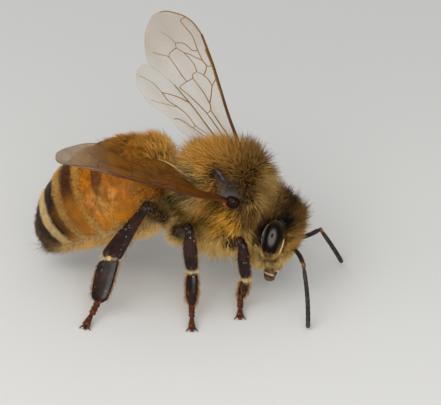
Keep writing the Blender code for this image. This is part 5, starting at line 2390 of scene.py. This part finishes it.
@dataclass
class Wing:
    """One wing: its thin skin and the veins that stiffen it.

    Args:
        name: Its name in the solids.
        side: The side it is on.
        span: The way it runs from the hinge.
        chord: The way from its leading edge to its rear edge.
        leading: The points of its leading edge, as span and chord.
        trailing: The points of its rear edge.
        veins: A radius and the points of each vein.
        drop: How far it lies under the hinge's plane.
        camber: How strongly its leading and its rear part curl up, over the square of the chord.
        fan: How far it is swung out behind, in degrees.
        hem_line: The points of its rolled hem.
        hinge: Where it is hinged, on the bee's left side.
        half_thickness: Half the thickness of its skin.
        rows: How many points lie along its span.
        columns: How many points lie across its chord.
    """

    name: str
    side: Side
    span: Vector
    chord: Vector
    leading: Rows
    trailing: Rows
    veins: tuple[tuple[float, Rows], ...]
    drop: float = 0.0
    camber: tuple[float, float] = (0.0, 0.0)
    fan: float = 0.0
    hem_line: Rows = ((1.15, 1.12), (1.55, 1.42), (2.0, 1.70), (2.6, 1.94), (3.2, 2.06))
    hinge: tuple[float, float, float] = (0.73, 1.75, 5.05)
    half_thickness: float = 0.008
    rows: int = 110
    columns: int = 34

    def ripple(self, flat: np.ndarray) -> np.ndarray:
        """Reads how far the wing's skin rises and falls between its veins.

        Args:
            flat: Spans and chords.

        Returns:
            The lift at each.
        """
        span, chord = flat[..., 0], flat[..., 1]
        waves = np.sin(6.5 * chord / (0.30 + 0.15 * span)) * 0.035 * ease(span, 0.3, 3.0)
        curl = np.where(chord < 0, self.camber[0], self.camber[1]) * chord**2 * ease(span, 0.5, 3.5)
        return waves + curl + 0.02 * np.sin(2.1 * span + 1.3 * chord) - self.drop

    def place(self, flat: np.ndarray) -> np.ndarray:
        """Takes span and chord to the bee's axes.

        Args:
            flat: Spans and chords.

        Returns:
            The points.
        """
        span, chord = np.array(self.span.normalized()), np.array(self.chord.normalized())
        lift = self.lift_way()
        swing = math.radians(self.fan)
        flat = np.stack([flat[..., 0] * math.cos(swing) - flat[..., 1] * math.sin(swing),
                         flat[..., 0] * math.sin(swing) + flat[..., 1] * math.cos(swing)], axis=-1)
        hinge = np.array([self.hinge[0], self.hinge[1] * self.side.value, self.hinge[2]])
        return hinge + flat[..., :1] * span + flat[..., 1:2] * chord + self.ripple(flat)[..., None] * lift

    def lift_way(self) -> np.ndarray:
        """The way out of the wing's upper face."""
        lift = unit(np.cross(np.array(self.span), np.array(self.chord)))
        return lift if lift[2] > 0 else -lift

    @staticmethod
    def evenly(points: Rows, count: int) -> np.ndarray:
        """Spaces points evenly along a smooth edge.

        Args:
            points: The points that the edge runs through.
            count: How many points to give.

        Returns:
            The evenly spaced points.
        """
        path = smooth_path(points, 12)
        lengths = np.concatenate([[0], np.cumsum(np.linalg.norm(np.diff(path, axis=0), axis=1))])
        wanted = np.linspace(0, lengths[-1], count)
        return np.stack([np.interp(wanted, lengths, path[:, i]) for i in (0, 1)], axis=-1)

    def build(self, skin: Material, vein: Material) -> None:
        """Builds and dresses the wing.

        Args:
            skin: The finish of its skin.
            vein: The finish of its veins.
        """
        leading, trailing = (self.evenly(edge, self.rows) for edge in (self.leading, self.trailing))
        trailing[-1] = leading[-1] + [0.0, 0.01]
        share = np.linspace(0, 1, self.columns)[None, :, None]
        flat = leading[:, None] * (1 - share) + trailing[:, None] * share
        place = np.concatenate([flat, np.zeros(flat.shape[:2] + (1,))], axis=-1)
        lift = self.lift_way() * self.half_thickness
        slab = Shell().add_slab(self.place(flat), place, lift)
        add_piece(f"{self.name}_skin", slab, skin, (self.name,))
        shell = Shell()
        for radius, points in self.veins:
            path = self.place(smooth_path(points, 7))
            taper = radius * np.linspace(1.0, 0.62, len(path))
            shell.add(tube_grid(path, taper, 8, Vector(self.lift_way()), 0.8))
        add_piece(f"{self.name}_veins", shell, vein, (self.name,))

    def build_hem(self, finish: Material) -> None:
        """Builds the rolled hem along the inner part of the rear edge, pale as a painted highlight.

        Args:
            finish: The hem's finish, pale for the painted highlight.
        """
        path = self.place(smooth_path(self.hem_line, 8))
        radii = 0.030 * np.sin(np.pi * np.linspace(0.08, 0.96, len(path))) ** 0.5
        hem = tube_grid(path, radii, 10, Vector(self.lift_way()), 0.7)
        hem.place = hem.points
        name = f"{self.name}_hem"
        add_piece(name, hem, finish, (self.name,))


# ---------------------------------------------------------------------------------------------- stage


# Each soft light: name, azimuth, elevation, width and height in millimetres, and power in watts.
LIGHTS = (
    ("light_left", -34.0, 42.0, 84.0, 74.0, 0.030),
    ("light_right", 46.0, 38.0, 78.0, 70.0, 0.020),
    ("light_front", 6.0, 22.0, 130.0, 60.0, 0.112),
    ("light_top", -42.0, 54.0, 230.0, 170.0, 0.100),
)


@dataclass
class Stage:
    """The pale floor, the soft lights and the camera.

    Args:
        azimuth: How far the camera stands round from straight ahead of the bee's right side, in degrees.
        elevation: How far it stands above the floor, in degrees.
        lens: Its focal length, in millimetres.
        distance: How far it stands from what it looks at.
        target: What it looks at, in the bee's axes.
        shift: How far its frame is shifted, in shares of the width.
        floor_half: Half the width of the floor.
        light_distance: How far each light stands from the bee.
    """

    azimuth: float = 10.0
    elevation: float = 28.5
    lens: float = 250.0
    distance: float = 138.8
    target: tuple[float, float, float] = (0.0, 0.0, 4.0)
    shift: tuple[float, float] = (-0.0030, -0.0011)
    floor_half: float = 600.0
    light_distance: float = 150.0

    def build(self) -> None:
        """Builds the floor, the lights, the world and the camera."""
        self.build_floor()
        self.build_world()
        for name, azimuth, elevation, width, height, power in LIGHTS:
            light = bpy.data.lights.new(name, "AREA")
            light.shape = "RECTANGLE"
            light.size, light.size_y = width * MM, height * MM
            light.energy = power
            light.color = (1.0, 0.985, 0.96)
            self.stand(name, light, azimuth, elevation, self.light_distance)
        self.add_camera()
        view = bpy.context.scene.view_settings
        view.view_transform = "Standard"
        view.look = "None"

    def build_floor(self) -> None:
        """Builds the pale floor, with painted shade darkening it towards the back."""
        mesh = bpy.data.meshes.new("floor")
        half = self.floor_half
        corners = np.array([(-half, -half, 0), (half, -half, 0), (half, half, 0), (-half, half, 0)],
                           dtype=float)
        mesh.from_pydata(in_frame(corners).tolist(), [], [(0, 1, 2, 3)])
        material, graph, shader = new_material("floor_paper")
        place = graph.object_mm()
        cloud = graph.noise(place, 0.05, 3.0)
        near = graph.mix(cloud, (0.67, 0.67, 0.655), (0.71, 0.71, 0.695))
        # painted shade: the floor turns darker towards the back, where less light reaches it
        further = graph.rise(graph.axes(place)[1], -8.0, 28.0)
        graph.fill(shader, {
            "Base Color": graph.mix(further, near, (0.645, 0.645, 0.635)),
            "Roughness": graph.add(0.55, graph.times(cloud, 0.2)),
            "Specular IOR Level": 0.2,
        })
        mesh.materials.append(material)
        floor = bpy.data.objects.new("floor", mesh)
        bpy.context.scene.collection.objects.link(floor)

    def build_world(self) -> None:
        """Sets the pale soft light from all round."""
        world = bpy.data.worlds.new("soft_room")
        world.use_nodes = True
        Graph(world.node_tree).fill(world.node_tree.nodes["Background"],
                                    {"Color": (0.975, 0.98, 0.985), "Strength": 0.49})
        bpy.context.scene.world = world

    def stand(self, name: str, data: bpy.types.ID, azimuth: float, elevation: float,
              distance: float) -> bpy.types.Object:
        """Stands a light or the camera beside the bee, facing it.

        Args:
            name: Its name.
            data: The light or the camera.
            azimuth: How far round from the bee's right side it stands, in degrees.
            elevation: How high it stands, in degrees.
            distance: How far off it stands, in millimetres.

        Returns:
            Its object.
        """
        around, up = math.radians(azimuth), math.radians(elevation)
        way = Vector((math.sin(around) * math.cos(up), -math.cos(around) * math.cos(up), math.sin(up)))
        thing = bpy.data.objects.new(name, data)
        thing.location = in_frame(np.array(Vector(self.target) + way * distance))
        thing.rotation_mode = "QUATERNION"
        thing.rotation_quaternion = (-way).to_track_quat("-Z", "Y")
        bpy.context.scene.collection.objects.link(thing)
        return thing

    def add_camera(self) -> None:
        """Adds the camera."""
        lens = bpy.data.cameras.new("camera")
        lens.lens = self.lens
        lens.shift_x, lens.shift_y = self.shift
        lens.clip_start, lens.clip_end = 1 * MM, 5000 * MM
        bpy.context.scene.camera = self.stand("camera", lens, self.azimuth, self.elevation, self.distance)


def make_patterns() -> None:
    """Builds the shared shader groups."""
    make_grain_group()
    make_hair_tone_group()
    make_trunk_marks()
    make_head_marks()
    make_abdomen_marks()
    make_limb_marks()


# ------------------------------------------------------------------------------------------- whole bee

FEELERS = (
    (Side.RIGHT, (3.40, -0.81, 2.45), (4.08, -2.04, 2.30), (4.59, -3.90, 0.12)),
    (Side.LEFT, (3.42, -0.01, 2.40), (4.40, 0.96, 2.48), (5.24, 2.27, 0.12)),
)
LEG_JOINTS: dict[tuple[Pair, Side], Rows] = {
    (Pair.FORE, Side.RIGHT): ((1.05, -0.55, 2.95), (0.24, -1.52, 2.72), (1.35, -2.19, 3.27),
                              (1.56, -2.52, 1.56), (1.27, -2.38, 0.45), (1.43, -3.40, 0.12)),
    (Pair.MID, Side.RIGHT): ((-0.95, -0.60, 2.95), (-1.83, -1.74, 3.12), (-0.98, -2.71, 4.04),
                             (-0.81, -3.02, 2.02), (-0.74, -3.58, 0.56), (-0.51, -4.80, 0.12)),
    (Pair.HIND, Side.RIGHT): ((-1.75, -0.60, 3.70), (-2.32, -1.05, 3.42), (-2.92, -2.68, 4.94),
                              (-4.57, -3.08, 2.33), (-4.93, -4.10, 0.62), (-5.20, -5.45, 0.12)),
    (Pair.FORE, Side.LEFT): ((1.05, 0.55, 2.95), (0.10, 0.78, 2.32), (1.42, 2.15, 3.20),
                             (1.72, 2.50, 1.55), (1.68, 2.55, 0.45), (1.95, 3.50, 0.12)),
    (Pair.MID, Side.LEFT): ((-0.95, 0.60, 2.95), (-1.95, 1.08, 2.75), (-1.02, 2.68, 3.98),
                            (-0.88, 3.08, 2.00), (-0.84, 3.66, 0.56), (-0.66, 4.88, 0.12)),
    (Pair.HIND, Side.LEFT): ((-1.75, 0.60, 3.70), (-2.32, 1.05, 3.42), (-2.95, 2.58, 4.74),
                             (-4.58, 3.00, 2.30), (-4.95, 3.92, 0.62), (-5.22, 5.20, 0.12)),
}
LEG_SECTIONS: dict[Pair, dict[Length, tuple[float, float]]] = {
    Pair.FORE: {Length.COXA: (0.36, 0.34), Length.FEMUR: (0.30, 0.26), Length.TIBIA: (0.29, 0.24),
                Length.BASITARSUS: (0.22, 0.17), Length.TARSUS: (0.185, 0.14)},
    Pair.MID: {Length.COXA: (0.38, 0.36), Length.FEMUR: (0.31, 0.27), Length.TIBIA: (0.33, 0.25),
               Length.BASITARSUS: (0.29, 0.18), Length.TARSUS: (0.185, 0.14)},
    Pair.HIND: {Length.COXA: (0.42, 0.40), Length.FEMUR: (0.36, 0.28), Length.TIBIA: (0.445, 0.20),
                Length.BASITARSUS: (0.49, 0.16), Length.TARSUS: (0.195, 0.15)},
}
WING_PLANES = {
    Side.RIGHT: (Vector((-0.784, -0.462, 0.414)), Vector((-0.470, 0.879, 0.091))),
    Side.LEFT: (Vector((-0.575, 0.631, 0.521)), Vector((-0.777, -0.621, -0.106))),
}


def build_feelers() -> None:
    """Builds both feelers in their shared finishes."""
    shaft = CuticleFinish("feeler_shaft", (0.040, 0.024, 0.018), (0.014, 0.010, 0.009), roughness=0.34,
                          mottle=4.0, dust=0.3).make()
    flail = CuticleFinish("feeler_beads", (0.055, 0.042, 0.036), (0.024, 0.019, 0.017), roughness=0.58,
                          mottle=5.0, grain=44.0, depth=0.5, gloss=0.0, dust=0.3).make()
    red = CuticleFinish("feeler_elbow", (0.26, 0.085, 0.030), (0.10, 0.035, 0.015), roughness=0.35,
                        mottle=6.0).make()
    for side, socket, elbow, tip in FEELERS:
        Feeler(side, socket, elbow, tip).build(shaft, flail, red)


def build_legs() -> None:
    """Builds the six legs in their shared finishes."""
    finishes = {
        "shell": CuticleFinish("leg_shell", (0.028, 0.0080, 0.0034), (0.004, 0.0026, 0.0022), roughness=0.10,
                               mottle=2.2, grain=24.0, depth=0.25, dust=0.85, gloss=0.09, shine=0.40).make(),
        "joint": CuticleFinish("leg_joint", (0.62, 0.42, 0.18), (0.26, 0.14, 0.05), roughness=0.5,
                               mottle=7.0).make(),
        "foot": CuticleFinish("foot_shell", (0.125, 0.032, 0.012), (0.050, 0.016, 0.008), roughness=0.32,
                              mottle=6.0, dust=0.8).make(),
        "claw": CuticleFinish("claw_shell", (0.10, 0.040, 0.020), (0.018, 0.010, 0.008), roughness=0.25,
                              mottle=8.0).make(),
        "hair": CoatFinish("leg_hair", Marks.LIMB, root_shade=0.5, tip_paleness=0.15, variety=0.8).make(),
    }
    tufts = TuftSet("leg_tufts", hairs=2, thickness=0.027, spread=0.20, bend=0.25, seed=61).make()
    for (pair, side), joints in LEG_JOINTS.items():
        Leg(pair, side, joints, LEG_SECTIONS[pair]).build(finishes, tufts)


def build_wings() -> None:
    """Builds the four wings in their shared finishes."""
    skin = WingFinish("wing_skin").make()
    rear_skin = WingFinish("hindwing_skin", alpha=0.13).make()
    far_skin = WingFinish("wing_skin_left", (0.46, 0.29, 0.07), (0.40, 0.24, 0.06), (0.40, 0.20, 0.03),
                          (0.33, 0.20, 0.07), alpha=0.04, slant=0.40, root_alpha=0.05,
                          outer_alpha=0.12).make()
    vein = VeinFinish("wing_vein", (0.085, 0.026, 0.006), (0.040, 0.013, 0.004), roughness=0.30,
                      mottle=1.2).make()
    far_vein = VeinFinish("wing_vein_left", (0.090, 0.034, 0.008), (0.070, 0.024, 0.006), roughness=0.30,
                          mottle=1.2, thin=(0.28, 0.145, 0.028)).make()
    # the hem's pale colour is a painted highlight along the fold
    hem = CuticleFinish("wing_hem", (0.66, 0.42, 0.26), (0.36, 0.19, 0.09), roughness=0.35, mottle=1.5).make()
    swept = {"camber": (0.33, 0.12)}
    for side, fore, rear, veins, bend, fan in ((Side.LEFT, far_skin, far_skin, far_vein, {}, 0.0),
                                               (Side.RIGHT, skin, rear_skin, vein, swept, -6.5)):
        planes = WING_PLANES[side]
        Wing(f"forewing_{side.word}", side, *planes, FORE_LEADING, FORE_TRAILING, FORE_VEINS,
             **bend).build(fore, veins)
        hindwing = Wing(f"hindwing_{side.word}", side, *planes, HIND_LEADING, HIND_TRAILING, HIND_VEINS,
                        drop=0.05, fan=fan, **bend)
        hindwing.build(rear, veins)
    hindwing.build_hem(hem)     # the right one, which comes last, shows its hem


def main() -> None:
    """Builds the pieces in order."""
    logging.basicConfig(level=logging.INFO, format="%(name)s: %(message)s")
    make_patterns()
    Trunk().build()
    Head().build()
    Abdomen().build()
    build_feelers()
    build_legs()
    build_wings()
    Stage().build()


if __name__ == "__main__":
    main()
